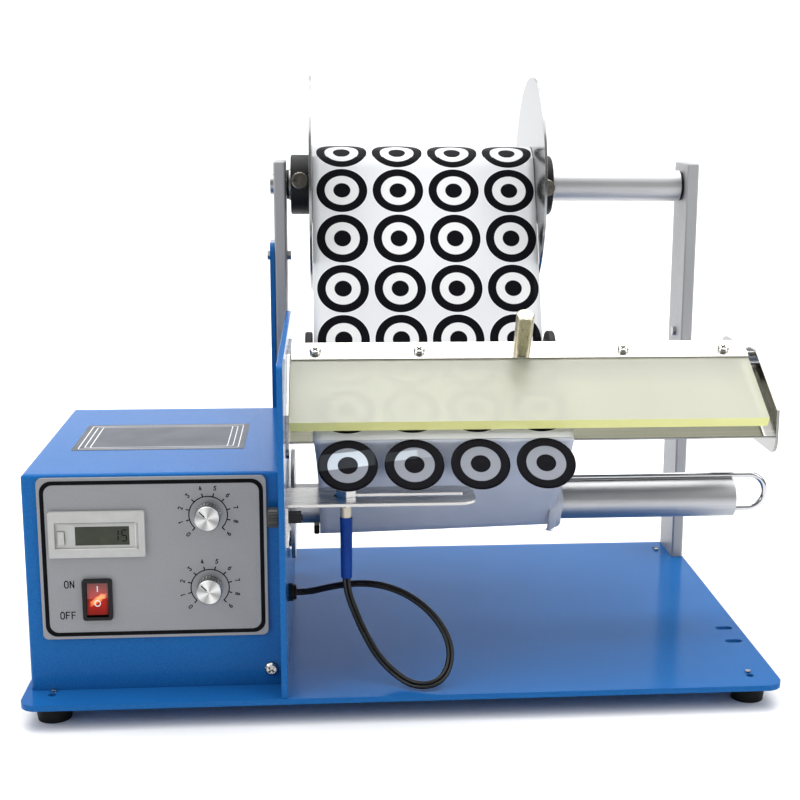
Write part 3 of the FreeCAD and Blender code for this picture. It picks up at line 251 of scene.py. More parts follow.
def soft_edges(tree, radius):
    return put(tree, "ShaderNodeBevel", {"Radius": radius}, samples=6).outputs[0]


def rgb(r, g, b):
    return (r, g, b, 1.0)


# Powder coat: fine orange peel and a faint speckle
def powder_coat(name, base, speck, rough=(0.2, 0.3), edge=0.0006, **extra):
    mat, t, s = new_material(name, **extra)
    speckle = spread(t, noise(t, 1500, 2.0, 0.6), 0.4, 0.7)
    cloud = spread(t, noise(t, 9, 3.0, 0.6), 0.3, 0.75)
    colour = blend_colours(t, maths(t, "MULTIPLY", speckle, 0.55), base, speck)
    colour = blend_colours(t, maths(t, "MULTIPLY", cloud, 0.25), colour, speck)
    t.links.new(colour, s.inputs["Base Color"])
    t.links.new(spread(t, noise(t, 300, 3.0, 0.55), 0.3, 0.7, *rough), s.inputs["Roughness"])
    peel = bump(t, noise(t, 900, 2.0, 0.55), 0.00006, 0.4, soft_edges(t, edge))
    t.links.new(peel, s.inputs["Normal"])
    return mat


# Metals: fine grain drawn out along one way
def brushed(name, base, dark, rough=(0.28, 0.4), stretch=(8, 900, 900), fine=0.00002, edge=0.0003, **extra):
    mat, t, s = new_material(name, Metallic=1.0, **extra)
    line = noise(t, 1.0, 4.0, 0.7, stretch)
    if max(stretch) > min(stretch):
        # Faces across the grain show no specks
        along = [1.0 if v == min(stretch) else 0.0 for v in stretch]
        facing = put(t, "ShaderNodeTexCoord").outputs["Normal"]
        end_on = put(t, "ShaderNodeVectorMath", {0: facing, 1: along}, operation="DOT_PRODUCT").outputs["Value"]
        plain = spread(t, maths(t, "ABSOLUTE", end_on), 0.7, 0.95, 0.0, 0.85)
        line = maths(t, "ADD", line, maths(t, "MULTIPLY", plain, maths(t, "SUBTRACT", 0.5, line)))
    smudge = spread(t, noise(t, 25, 3.0, 0.6), 0.3, 0.75)
    colour = blend_colours(t, spread(t, line, 0.3, 0.7), dark, base)
    colour = blend_colours(t, maths(t, "MULTIPLY", smudge, 0.2), colour, dark)
    t.links.new(colour, s.inputs["Base Color"])
    t.links.new(spread(t, line, 0.25, 0.75, rough[0], rough[1]), s.inputs["Roughness"])
    t.links.new(bump(t, line, fine, 0.5, soft_edges(t, edge)), s.inputs["Normal"])
    return mat


# Plastics and rubber: a fine moulded grain
def moulded(name, base, light, rough=(0.38, 0.55), grain=1500, fine=0.00003, edge=0.0003, **extra):
    mat, t, s = new_material(name, **extra)
    mottle = spread(t, noise(t, 120, 4.0, 0.65), 0.35, 0.7)
    t.links.new(blend_colours(t, mottle, base, light), s.inputs["Base Color"])
    t.links.new(spread(t, noise(t, 60, 3.0), 0.3, 0.7, rough[0], rough[1]), s.inputs["Roughness"])
    t.links.new(bump(t, noise(t, grain, 2.0), fine, 0.5, soft_edges(t, edge)), s.inputs["Normal"])
    return mat


blue = powder_coat("blue_coat", rgb(0.008, 0.098, 0.315), rgb(0.022, 0.155, 0.44), (0.1, 0.16),
                   Specular_IOR_Level=0.06)
post_paint = powder_coat("post_paint", rgb(0.36, 0.36, 0.365), rgb(0.44, 0.44, 0.445), (0.4, 0.5), Metallic=0.3)
anodised = brushed("anodised", rgb(0.56, 0.56, 0.565), rgb(0.46, 0.46, 0.47), (0.42, 0.52), (3, 1400, 1400))
disc_metal = brushed("disc_metal", rgb(0.36, 0.36, 0.362), rgb(0.30, 0.30, 0.302), (0.14, 0.24), (900, 30, 900))
zinc = brushed("zinc_steel", rgb(0.5, 0.5, 0.5), rgb(0.34, 0.34, 0.35), (0.22, 0.4), (300, 300, 300))
screw_bright = brushed("bright_screw", rgb(0.62, 0.6, 0.56), rgb(0.34, 0.33, 0.31), (0.12, 0.22), (200, 200, 200))
threaded = brushed("threaded_steel", rgb(0.66, 0.60, 0.50), rgb(0.3, 0.27, 0.22), (0.22, 0.36), (1, 1, 2600), 0.0002)
stainless = brushed("stainless", rgb(0.70, 0.69, 0.67), rgb(0.45, 0.44, 0.43), (0.2, 0.36), (6, 1200, 1200))
polished = brushed("polished_sheet", rgb(0.34, 0.338, 0.32), rgb(0.25, 0.245, 0.24), (0.08, 0.18), (4, 500, 500),
                   0.000006)
bright = brushed("bright_wire", rgb(0.62, 0.62, 0.63), rgb(0.5, 0.5, 0.51), (0.06, 0.16), (60, 60, 60), 0.000006)
strip_metal = brushed("strip_metal", rgb(0.64, 0.62, 0.60), rgb(0.54, 0.525, 0.505), (0.2, 0.3), (4, 500, 500),
                      0.000006)
yellow_zinc = brushed("yellow_zinc", rgb(0.60, 0.56, 0.42), rgb(0.42, 0.385, 0.27), (0.24, 0.34), (500, 500, 20))
bronze = brushed("bearing_bronze", rgb(0.62, 0.45, 0.25), rgb(0.4, 0.28, 0.14), (0.3, 0.45), (90, 90, 90))
fascia_metal = powder_coat("fascia_silver", rgb(0.225, 0.228, 0.24), rgb(0.295, 0.298, 0.31), (0.4, 0.5),
                           0.0003, Metallic=0.2)
screw_dark = brushed("dark_screw", rgb(0.22, 0.2, 0.17), rgb(0.1, 0.095, 0.08), (0.25, 0.4), (300, 300, 300))
black = moulded("black_plastic", rgb(0.006, 0.006, 0.007), rgb(0.011, 0.011, 0.012), Specular_IOR_Level=0.2)
knurl_black = moulded("dark_knob", rgb(0.02, 0.019, 0.019), rgb(0.035, 0.033, 0.032), (0.3, 0.5))
rubber = moulded("black_rubber", rgb(0.006, 0.006, 0.007), rgb(0.012, 0.012, 0.012), (0.5, 0.7), 900, 0.00005,
                 Specular_IOR_Level=0.15)
beige = moulded("beige_plastic", rgb(0.42, 0.42, 0.41), rgb(0.47, 0.47, 0.455), (0.35, 0.5), Specular_IOR_Level=0.3)
sleeve_blue = moulded("blue_sleeve", rgb(0.004, 0.035, 0.22), rgb(0.008, 0.05, 0.28), (0.3, 0.5), 400, 0.0001,
                      Specular_IOR_Level=0.08)
fibre_black = moulded("black_fibre", rgb(0.005, 0.005, 0.006), rgb(0.01, 0.01, 0.011), (0.25, 0.4),
                      Specular_IOR_Level=0.3)
board_green = moulded("green_board", rgb(0.01, 0.14, 0.06), rgb(0.02, 0.22, 0.09))
card = moulded("card", rgb(0.38, 0.29, 0.19), rgb(0.5, 0.4, 0.28), (0.7, 0.9), 600, 0.0001)
ink = moulded("black_ink", rgb(0.004, 0.004, 0.005), rgb(0.008, 0.008, 0.009), (0.4, 0.5), 2000, 0.00001,
              Specular_IOR_Level=0.02)
white_ink = moulded("white_ink", rgb(0.8, 0.8, 0.82), rgb(0.9, 0.9, 0.9), (0.4, 0.5), 2000, 0.00001)


# The cover lies over the tray at this slope
cover_slope = math.radians(30.0)


# Tinted acrylic: hazy on its faces, bright and yellow-green where its edges gather light
def tinted_acrylic():
    mat, t, s = new_material("acrylic", IOR=1.49, Specular_IOR_Level=0.35)
    facing = put(t, "ShaderNodeTexCoord").outputs["Normal"]
    across = (0.0, -math.sin(cover_slope), math.cos(cover_slope))
    flat = put(t, "ShaderNodeVectorMath", {0: facing, 1: across}, operation="DOT_PRODUCT").outputs["Value"]
    face = spread(t, maths(t, "ABSOLUTE", flat), 0.6, 0.9)
    cloud = noise(t, 7, 2.0, 0.5, (1, 0.4, 0.4))
    t.links.new(spread(t, cloud, 0.3, 0.75, 0.26, 0.36), s.inputs["Roughness"])
    sheet = blend_colours(t, spread(t, noise(t, 11, 2.0), 0.2, 0.8), rgb(0.66, 0.665, 0.53), rgb(0.73, 0.735, 0.60))
    t.links.new(blend_colours(t, face, rgb(0.86, 0.86, 0.35), sheet), s.inputs["Base Color"])
    t.links.new(spread(t, face, 0, 1, 0.15, 0.66), s.inputs["Transmission Weight"])
    t.links.new(bump(t, noise(t, 260, 1.0), 0.00002, 0.2), s.inputs["Normal"])
    return mat


acrylic = tinted_acrylic()


def lit_lens():
    """The rocker's red lens, with the lamp's hot spot inside."""
    mat, t, s = new_material("red_lens", Roughness=0.1, Coat_Weight=0.4, Emission_Strength=1.0,
                             Specular_IOR_Level=0.5)
    low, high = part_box("switch_rocker")
    centre = (low + high) / 2
    place = put(t, "ShaderNodeVectorMath", {0: coords(t), 1: centre}, operation="SUBTRACT").outputs[0]
    split = put(t, "ShaderNodeSeparateXYZ", {0: place})
    across = maths(t, "SUBTRACT", split.outputs["X"], 0.0004)
    up = maths(t, "ADD", split.outputs["Z"], 0.0004)
    slant = maths(t, "SUBTRACT", up, maths(t, "MULTIPLY", across, 0.55))
    far = maths(t, "SQRT", maths(t, "ADD", maths(t, "POWER", maths(t, "DIVIDE", across, 0.0042), 2.0),
                                 maths(t, "POWER", maths(t, "DIVIDE", slant, 0.0019), 2.0)))
    heat = spread(t, maths(t, "ADD", far, spread(t, noise(t, 700, 3.0, 0.6), 0.3, 0.7, -0.25, 0.25)), 0.25, 1.1, 1, 0)
    glow = spread(t, maths(t, "ABSOLUTE", up), 0.002, 0.0085, 1.0, 0.25)
    edge = spread(t, maths(t, "ABSOLUTE", split.outputs["X"]), 0.0038, 0.0052, 1.0, 0.35)
    red = blend_colours(t, maths(t, "MULTIPLY", glow, edge), rgb(0.06, 0.002, 0.001), rgb(0.30, 0.008, 0.004))
    t.links.new(blend_colours(t, heat, red, rgb(1.0, 0.30, 0.10)), s.inputs["Base Color"])
    lit = blend_colours(t, maths(t, "MULTIPLY", glow, edge), rgb(0.01, 0.0, 0.0), rgb(0.12, 0.004, 0.002))
    t.links.new(blend_colours(t, heat, lit, rgb(1.0, 0.24, 0.07)), s.inputs["Emission Color"])
    return mat


def spun_face(name, node):
    """Turned aluminium with fine rings round the knob's axis, which is along y, and painted highlights: four light
    and four dark fans round the axis, painted into its colour, stand in for the spun face's reflections.
    """
    low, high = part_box(node)
    centre = (low + high) / 2
    mat, t, s = new_material(name, Metallic=1.0, Anisotropic=0.85)
    place = put(t, "ShaderNodeVectorMath", {0: coords(t), 1: centre}, operation="SUBTRACT").outputs[0]
    flat = put(t, "ShaderNodeVectorMath", {0: place, 1: (1, 0, 1)}, operation="MULTIPLY").outputs[0]
    radius = put(t, "ShaderNodeVectorMath", {0: flat}, operation="LENGTH").outputs["Value"]
    split = put(t, "ShaderNodeSeparateXYZ", {0: place})
    turn = maths(t, "ARCTAN2", split.outputs["Z"], split.outputs["X"])
    # Painted highlight: light and dark fans round the axis in the base colour stand in for the reflections of the
    # spun face
    painted_fan_highlights = maths(t, "SINE", maths(t, "MULTIPLY", turn, 4.0))
    fan_highlight_colour = blend_colours(t, spread(t, painted_fan_highlights, -1, 1), rgb(0.30, 0.30, 0.295), rgb(0.66, 0.66, 0.65))
    t.links.new(fan_highlight_colour, s.inputs["Base Color"])
    rings = maths(t, "SINE", maths(t, "MULTIPLY", radius, 22000))
    t.links.new(spread(t, rings, -1, 1, 0.2, 0.34), s.inputs["Roughness"])
    t.links.new(bump(t, rings, 0.00001, 0.5, soft_edges(t, 0.0002)), s.inputs["Normal"])
    tangent = put(t, "ShaderNodeTangent", direction_type="RADIAL", axis="Y").outputs[0]
    t.links.new(tangent, s.inputs["Tangent"])
    return mat


# Label film: rings drawn from distance along and across the web, kept in the piece's UV map in millimetres
label_pitch_x = 34.75
label_first_x = -30.9
label_pitch_s = 33.0
label_r = 15.75
ring_inner = 0.67
ring_dot = 0.335
last_print = 7.5 * label_pitch_s


def smooth_mask(t, r, edge, soft=0.08):
    """1 inside the circle of radius edge, 0 outside."""
    return spread(t, r, edge - soft, edge + soft, 1.0, 0.0)


def rings_colour(t, r, paper, pale, dark):
    outer = smooth_mask(t, r, label_r)
    paper = blend_colours(t, smooth_mask(t, r, label_r + 0.35), paper, rgb(0.86, 0.87, 0.88))
    inner = smooth_mask(t, r, label_r * ring_inner)
    dot = smooth_mask(t, r, label_r * ring_dot)
    colour = blend_colours(t, outer, paper, dark)
    colour = blend_colours(t, inner, colour, pale)
    return blend_colours(t, dot, colour, dark), outer, inner, dot


def printed_film(name, see_through=0.0):
    mat, t, s = new_material(name, Specular_IOR_Level=0.03)
    split = put(t, "ShaderNodeSeparateXYZ", {0: put(t, "ShaderNodeTexCoord").outputs["UV"]})
    across = maths(t, "DIVIDE", maths(t, "SUBTRACT", split.outputs["X"], label_first_x), label_pitch_x)
    along = maths(t, "DIVIDE", split.outputs["Y"], label_pitch_s)
    du = maths(t, "MULTIPLY", maths(t, "SUBTRACT", across, maths(t, "ROUND", across)), label_pitch_x)
    dv = maths(t, "MULTIPLY", maths(t, "SUBTRACT", along, maths(t, "ROUND", along)), label_pitch_s)
    r = maths(t, "SQRT", maths(t, "ADD", maths(t, "MULTIPLY", du, du), maths(t, "MULTIPLY", dv, dv)))
    r = maths(t, "ADD", r, spread(t, split.outputs["Y"], last_print, last_print + 0.1, 0, 60))
    colour, outer, inner, dot = rings_colour(t, r, rgb(0.72, 0.725, 0.74), rgb(0.75, 0.75, 0.755),
                                             rgb(0.006, 0.006, 0.008))
    cloudy = spread(t, noise(t, 40, 3.0, 0.6), 0.3, 0.75)
    cloudy = maths(t, "MULTIPLY", cloudy, maths(t, "SUBTRACT", 1.0, outer))
    colour = blend_colours(t, maths(t, "MULTIPLY", cloudy, 0.12), colour, rgb(0.6, 0.64, 0.7))
    t.links.new(colour, s.inputs["Base Color"])
    t.links.new(spread(t, outer, 0, 1, 0.42, 0.2), s.inputs["Roughness"])
    ripple = bump(t, noise(t, 55, 2.0), 0.0004, 0.25)
    t.links.new(bump(t, outer, 0.00008, 0.6, ripple), s.inputs["Normal"])
    return mat


printed_web_mat = printed_film("label_film")


def liner_material():
    mat, t, s = new_material("liner_paper", Coat_Weight=0.15, Coat_Roughness=0.3, Transmission_Weight=0.0)
    cloud = spread(t, noise(t, 18, 4.0, 0.6), 0.3, 0.75)
    t.links.new(blend_colours(t, cloud, rgb(0.44, 0.475, 0.55), rgb(0.54, 0.56, 0.62)), s.inputs["Base Color"])
    t.links.new(spread(t, noise(t, 90, 3.0), 0.3, 0.7, 0.3, 0.45), s.inputs["Roughness"])
    creases = bump(t, noise(t, 12, 5.0, 0.7, (1, 2.2, 2.2)), 0.003, 0.25)
    t.links.new(bump(t, noise(t, 700, 2.0), 0.00003, 0.3, creases), s.inputs["Normal"])
    return mat


liner = liner_material()


# Cords first
fibre_drop, drop_path, side_now = twin_strands("fibre_drop_strands", fibre_drop_route, fibre_black,
                                               Vector((1, 0, 0)))
fibre_loop, loop_path, side_now = twin_strands("fibre_loop_strands", fibre_loop_route, fibre_black, side_now)
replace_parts(fibre_drop, "fibre_drop")
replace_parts(fibre_loop, "fibre_loop")
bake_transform(fibre_drop)
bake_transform(fibre_loop)


# The web's path round its rollers, as in the part: circles are y, z, radius and the side of travel
shaft_y, shaft_z = 233.0, 248.0
roll_r = 24.5
guide_y, guide_z, guide_r = 150.0, 152.0, 6.0
tray_slope = math.radians(30.0)
tray_front_y, tray_front_z, tray_thick, tray_length = 45.5, 124.0, 1.5, 62.0
spool_y, spool_z, wound_r = 100.0, 75.2, 17.0
web_left, web_right = -49.0, 89.8
web_gap = 0.5


def tray_yz(u, n):
    return (tray_front_y + u * math.cos(tray_slope) - n * math.sin(tray_slope),
            tray_front_z + u * math.sin(tray_slope) + n * math.cos(tray_slope))


rear_mid = tray_yz(tray_length - tray_thick / 2, -tray_thick / 2)
front_mid = tray_yz(tray_thick / 2, -tray_thick / 2)
edge_r = tray_thick / 2 + web_gap
roll_circle = (shaft_y, shaft_z, roll_r + web_gap, 1)
guide_circle = (guide_y, guide_z, guide_r + web_gap, -1)
rear_circle = (*rear_mid, edge_r, 1)
front_circle = (*front_mid, edge_r, 1)
wound_circle = (spool_y, spool_z, wound_r + web_gap, 1)


def tangent(a, b):
    gap = math.hypot(b[0] - a[0], b[1] - a[1])
    heading = math.atan2(b[1] - a[1], b[0] - a[0]) - math.asin((b[3] * b[2] - a[3] * a[2]) / gap)
    left = (-math.sin(heading), math.cos(heading))
    return (heading, (a[0] - a[3] * a[2] * left[0], a[1] - a[3] * a[2] * left[1]),
            (b[0] - b[3] * b[2] * left[0], b[1] - b[3] * b[2] * left[1]))


def follow(circles, turn_in, turn_out, step=1.5):
    """Points y, z and the distance along, from turn_in degrees before the first run to turn_out after the last."""
    runs = [tangent(a, b) for a, b in zip(circles, circles[1:])]
    points = []
    for i, (y, z, r, s) in enumerate(circles):
        a0 = runs[i - 1][0] if i else runs[0][0] - s * math.radians(turn_in)
        a1 = runs[i][0] if i < len(runs) else a0 + s * math.radians(turn_out)
        if (a1 - a0) * s < 0:
            a1 += s * math.tau
        n = max(4, int(abs(a1 - a0) * r / 0.6) + 1, int(abs(a1 - a0) / 0.2) + 1)
        for k in range(n + 1):
            a = a0 + (a1 - a0) * k / n
            points.append((y + s * r * math.sin(a), z - s * r * math.cos(a)))
        if i < len(runs):
            p, q = runs[i][1], runs[i][2]
            m = int(math.hypot(q[0] - p[0], q[1] - p[1]) / step)
            for k in range(1, m):
                points.append((p[0] + (q[0] - p[0]) * k / m, p[1] + (q[1] - p[1]) * k / m))
    out, far = [], 0.0
    for i, p in enumerate(points):
        if i:
            far += math.hypot(p[0] - points[i - 1][0], p[1] - points[i - 1][1])
        out.append((p[0], p[1], far))
    return out


def eased(k):
    k = min(1.0, max(0.0, k))
    return k * k * (3 - 2 * k)


def print_place(s):
    """Distance along the print for a distance s along the web from where it leaves the roll."""
    place = s + 19.63
    if s < 27.7:
        place -= 0.1 * (27.7 - s)
    if s < 0:
        place += 0.15 * s
    return place + 0.9 * eased((s - 60) / 40) - 12.3 * eased((s - 118) / 40)


def ribbon(name, path, x_at, body, mat, thickness, columns=29, s_start=0.0):
    """A sheet along the path; x_at gives its left and right edge at a share of the way."""
    verts, uvs = [], []
    for y, z, far in path:
        left, right = x_at(far / path[-1][2])
        for j in range(columns):
            x = left + (right - left) * j / (columns - 1)
            verts.append(at(x, y, z))
            uvs.append((x, print_place(far - s_start)))
    obj = add(name, verts, grid_faces(len(path), columns), body, mat, True, uvs)
    return thicken(obj, thickness)


web_turn_in = 20.0
web_start = math.radians(web_turn_in) * roll_circle[2]
web_path = follow([roll_circle, guide_circle, rear_circle, front_circle], web_turn_in, 1)
printed_web = ribbon("printed_web", web_path, lambda k: (web_left, web_right), "frame", printed_web_mat,
                     0.00035, s_start=web_start)
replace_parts(printed_web, "label_web")


# The roll, with the rows of its outer turn in step with the web
def printed_roll():
    steps, columns = 160, 29
    tangent_angle = tangent(roll_circle, guide_circle)[0]
    verts, uvs = [], []
    for i in range(steps + 1):
        back = math.tau * i / steps
        a = tangent_angle - back + 0.35
        for j in range(columns):
            x = web_left + (web_right - web_left) * j / (columns - 1)
            verts.append(at(x, shaft_y + roll_r * math.sin(a), shaft_z - roll_r * math.cos(a)))
            uvs.append((x, print_place(-(back - 0.35) * roll_circle[2])))
    faces = grid_faces(steps + 1, columns)
    obj = add("printed_roll", verts, faces, "reel", printed_web_mat, True, uvs)
    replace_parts(obj, "label_roll")
    return obj


printed_roll()


# The roll's ends: fine rings of wound layers
def wound_layers(name, base, dark, cy, cz):
    mat, t, s = new_material(name)
    centre = at(0, cy, cz)
    place = put(t, "ShaderNodeVectorMath", {0: coords(t), 1: centre}, operation="SUBTRACT").outputs[0]
    flat = put(t, "ShaderNodeVectorMath", {0: place, 1: (0, 1, 1)}, operation="MULTIPLY").outputs[0]
    radius = put(t, "ShaderNodeVectorMath", {0: flat}, operation="LENGTH").outputs["Value"]
    layers = maths(t, "SINE", maths(t, "MULTIPLY", radius, 19000))
    uneven = maths(t, "MULTIPLY", layers, noise(t, 300, 2.0))
    t.links.new(blend_colours(t, spread(t, uneven, -0.6, 0.6), dark, base), s.inputs["Base Color"])
    t.links.new(spread(t, uneven, -1, 1, 0.5, 0.75), s.inputs["Roughness"])
    t.links.new(bump(t, uneven, 0.0001, 0.5), s.inputs["Normal"])
    return mat


roll_end_mat = wound_layers("roll_layers", rgb(0.82, 0.83, 0.84), rgb(0.55, 0.57, 0.6), shaft_y, shaft_z)
wound_end_mat = wound_layers("liner_layers", rgb(0.82, 0.84, 0.86), rgb(0.58, 0.62, 0.68), spool_y, spool_z)


def ring_ends(name, y, z, r0, r1, x0, x1, body, mat):
    """Two flat annular ends that close a roll."""
    verts, faces = [], []
    for x in (x0, x1):
        start = len(verts)
        for r in (r0, r1):
            for k in range(96):
                a = math.tau * k / 96
                verts.append(at(x, y + r * math.cos(a), z + r * math.sin(a)))
        faces += [tuple(start + q for q in f) for f in grid_faces(2, 96, wrap_cols=True)]
    return add(name, verts, faces, body, mat, False, None)


ring_ends("roll_ends", shaft_y, shaft_z, 15.5, roll_r, web_left, web_right, "reel", roll_end_mat)


# Front row of dispensed labels
label_droop = math.radians(42.0)


def dispensed_film(name, sheen, low, high, reach):
    """sheen is how strong a painted reflection of the lamp is in the film, from low to high across it, left of reach.
    """
    mat, t, s = new_material(name, Specular_IOR_Level=0.03)
    uv = put(t, "ShaderNodeTexCoord").outputs["UV"]
    r = put(t, "ShaderNodeVectorMath", {0: uv}, operation="LENGTH").outputs["Value"]
    colour, outer, inner, dot = rings_colour(t, r, rgb(0.5, 0.5, 0.5), rgb(0.36, 0.38, 0.425),
                                             rgb(0.006, 0.006, 0.008))
    pale = maths(t, "SUBTRACT", inner, dot)
    up = put(t, "ShaderNodeSeparateXYZ", {0: uv})
    # Painted reflection: a pale blue-white band across the film stands in for the lamp's streak on the glossy labels,
    # and the film is less clear there
    slant = maths(t, "ADD", up.outputs["Y"], maths(t, "MULTIPLY", up.outputs["X"], 0.12))
    lit = maths(t, "MULTIPLY", spread(t, slant, low - 0.3, low + 0.3), spread(t, slant, high - 0.3, high + 0.3, 1, 0))
    lit = maths(t, "MULTIPLY", lit, sheen)
    shown = maths(t, "MULTIPLY", lit, spread(t, pale, 0, 1, 0.05, 1.0))
    shown = maths(t, "MULTIPLY", shown, spread(t, up.outputs["X"], reach, reach + 1.5, 1, 0))
    colour = blend_colours(t, shown, colour, rgb(0.74, 0.82, 0.88))
    t.links.new(colour, s.inputs["Base Color"])
    clear = maths(t, "MULTIPLY", pale, maths(t, "SUBTRACT", 1.0, lit))
    t.links.new(maths(t, "MULTIPLY", clear, 0.5), s.inputs["Transmission Weight"])
    t.links.new(spread(t, pale, 0, 1, 0.22, 0.12), s.inputs["Roughness"])
    t.links.new(bump(t, noise(t, 60, 2.0), 0.0006, 0.3), s.inputs["Normal"])
    return mat


def dispensed_labels():
    # Painted reflections on the first two labels: strength, the band's low and high edge, and how far right it
    # reaches
    sheens = ((0.75, -8.2, 1.6, 13.5), (0.5, -9.0, -3.6, 1.0), (0.0, 0, 1, 0), (0.0, 0, 1, 0))
    forward = Vector((0, -math.cos(label_droop), -math.sin(label_droop)))
    upward = Vector((0, -math.sin(label_droop), math.cos(label_droop)))
    start = Vector((0, *front_mid)) + upward * (edge_r + 0.5)
    for i in range(4):
        x0 = label_first_x + label_pitch_x * i
        centre = start + forward * (label_r + 0.2)
        verts, uvs = [at(x0, centre.y, centre.z)], [(0.0, 0.0)]
        rings, around = 10, 72
        for k in range(1, rings + 1):
            rr = label_r * k / rings
            for j in range(around):
                a = math.tau * j / around
                dx, df = rr * math.cos(a), rr * math.sin(a)
                sag = -0.0035 * (df + label_r) ** 1.6 + 0.0022 * dx * dx * 0.2
                p = centre + forward * df + upward * sag
                verts.append(at(x0 + dx, p.y, p.z))
                uvs.append((dx, df))
        faces = [(0, 1 + j, 1 + (j + 1) % around) for j in range(around)]
        for k in range(rings - 1):
            for j in range(around):
                a, b = 1 + k * around + j, 1 + k * around + (j + 1) % around
                faces.append((a, a + around, b + around, b))
        mat = dispensed_film("dispensed_film_%d" % (i + 1), *sheens[i])
        obj = add("dispensed_label_%d" % (i + 1), verts, faces, "frame", mat, True, uvs)
        thicken(obj, 0.00018)
        if i == 0:
            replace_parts(obj, "dispensed_labels")


dispensed_labels()


# Waste liner from the peeling edge to the take-up roll, which is thinner at its right end
wound_left, wound_right = -46.0, 88.8
wound_taper = 3.2


def wound_radius(x):
    return wound_r - wound_taper * ((x - wound_left) / (wound_right - wound_left)) ** 1.2


def evenly(path, count):
    """Points y, z at equal steps along a path."""
    out, i = [], 0
    for n in range(count):
        far = path[-1][2] * n / (count - 1)
        while i < len(path) - 2 and path[i + 1][2] < far:
            i += 1
        a, b = path[i], path[i + 1]
        share = (far - a[2]) / max(b[2] - a[2], 1e-9)
        out.append((a[0] + (b[0] - a[0]) * share, a[1] + (b[1] - a[1]) * share))
    return out


def waste_liner_sheet():
    rows, columns = 110, 33
    lines = []
    for j in range(columns):
        x = wound_left + (wound_right - wound_left) * j / (columns - 1)
        circle = (spool_y, spool_z, wound_radius(x) + web_gap, 1)
        lines.append(evenly(follow([front_circle, circle], 85, 28), rows))
    verts = []
    for i in range(rows):
        k = i / (rows - 1)
        left = wound_left - 2.6 * (1 - k) ** 3
        right = 90.0 - 5.0 * k ** 1.4
        for j in range(columns):
            u = j / (columns - 1)
            y, z = lines[j][i]
            fold = 0.22 * math.sin(9 * u + 5 * k) * math.sin(math.pi * k)
            verts.append(at(left + (right - left) * u, y, z + fold))
    obj = add("waste_liner_sheet", verts, grid_faces(rows, columns), "frame", liner, True, None)
    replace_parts(thicken(obj, 0.0002), "waste_liner")


waste_liner_sheet()


def wound_roll():
    """The wound liner: soft turns, a little uneven, with loose turns at its right end."""
    steps, columns = 72, 60
    verts = []
    for j in range(columns):
        k = j / (columns - 1)
        x = wound_left + (wound_right - wound_left) * k
        for i in range(steps):
            a = math.tau * i / steps
            wave = 0.12 * math.sin(3 * a + 2.0 * k) + 0.08 * math.sin(x * 0.35 + 2 * a)
            loose = 0.2 * math.sin(5 * a + 9 * k) * max(0.0, k - 0.75) * 4
            r = wound_radius(x) - 0.3 + wave + loose
            verts.append(at(x, spool_y + r * math.cos(a), spool_z + r * math.sin(a)))
    obj = add("wound_liner_turns", verts, grid_faces(columns, steps, wrap_cols=True), "take_up", liner, True,
              None)
    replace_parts(obj, "wound_liner")
    for name, x in (("left", wound_left), ("right", wound_right)):
        ring_ends("wound_liner_end_" + name, spool_y, spool_z, 11.4, wound_radius(x) - 0.4, x, x, "take_up",
                  wound_end_mat)


wound_roll()


def torn_turns():
    """Loose torn ends of the liner that curl round the take-up tube."""
    strips = ((83.6, 6.6, 17.4, 118, 262, 0.9), (87.4, 4.4, 15.4, 125, 285, 0.6), (89.2, 3.0, 13.2, 60, 250, 0.4))
    for n, (x0, width, r, start, end, wave) in enumerate(strips):
        rows, columns = 40, 7
        verts = []
        for i in range(rows):
            k = i / (rows - 1)
            a = math.radians(start + (end - start) * k)
            ragged = wave * math.sin(7 * k + n) + 0.5 * wave * math.sin(19 * k + 2 * n)
            narrow = math.sin(math.pi * min(1, 0.12 + k)) ** 0.4 if k < 0.88 else 0.75
            for j in range(columns):
                u = j / (columns - 1)
                lift = 0.5 * math.sin(math.pi * u) + wave * 0.6 * k * u
                x = x0 + width * narrow * u + ragged * (0.4 + 0.6 * u)
                verts.append(at(x, spool_y + (r + lift) * math.cos(a), spool_z + (r + lift) * math.sin(a)))
        obj = add("torn_turn_%d" % (n + 1), verts, grid_faces(rows, columns), "take_up", liner, True, None)
        thicken(obj, 0.00025)


torn_turns()


def stop_pad():
    """The small black stop under the wound liner's left end."""
    profile = [(12.6, -49.4), (17.0, -49.4), (17.6, -48.8), (17.6, -46.9), (17.0, -46.3), (12.6, -46.3)]
    steps = 14
    verts = []
    for k in range(steps + 1):
        a = math.radians(-110 + 34 * k / steps)
        for r, x in profile:
            verts.append(at(x, spool_y + r * math.cos(a), spool_z + r * math.sin(a)))
    faces = grid_faces(steps + 1, len(profile), wrap_cols=True)
    last = steps * len(profile)
    faces += [tuple(range(len(profile))), tuple(reversed(range(last, last + len(profile))))]
    add("stop_pad", verts, faces, "take_up", black, False, None)


stop_pad()


# Printing on the fascia: thin flat marks just proud of the plate
fascia_left, fascia_bottom, fascia_w, fascia_h = -187.2, 28.2, 114.5, 85.3
fascia_y = 18.5
print_proud = 0.06


def rounded_loop(x0, z0, x1, z1, r, steps=8):
    loop = []
    for cx, cz, a0 in ((x1 - r, z1 - r, 0), (x0 + r, z1 - r, 90), (x0 + r, z0 + r, 180), (x1 - r, z0 + r, 270)):
        for k in range(steps + 1):
            a = math.radians(a0 + 90 * k / steps)
            loop.append((cx + r * math.cos(a), cz + r * math.sin(a)))
    return loop


def band(outer, inner, y):
    """A flat band between two loops of the same number of points, facing the front."""
    n = len(outer)
    verts = [at(x, y, z) for x, z in outer + inner]
    faces = [(i, n + i, n + (i + 1) % n, (i + 1) % n) for i in range(n)]
    return verts, faces


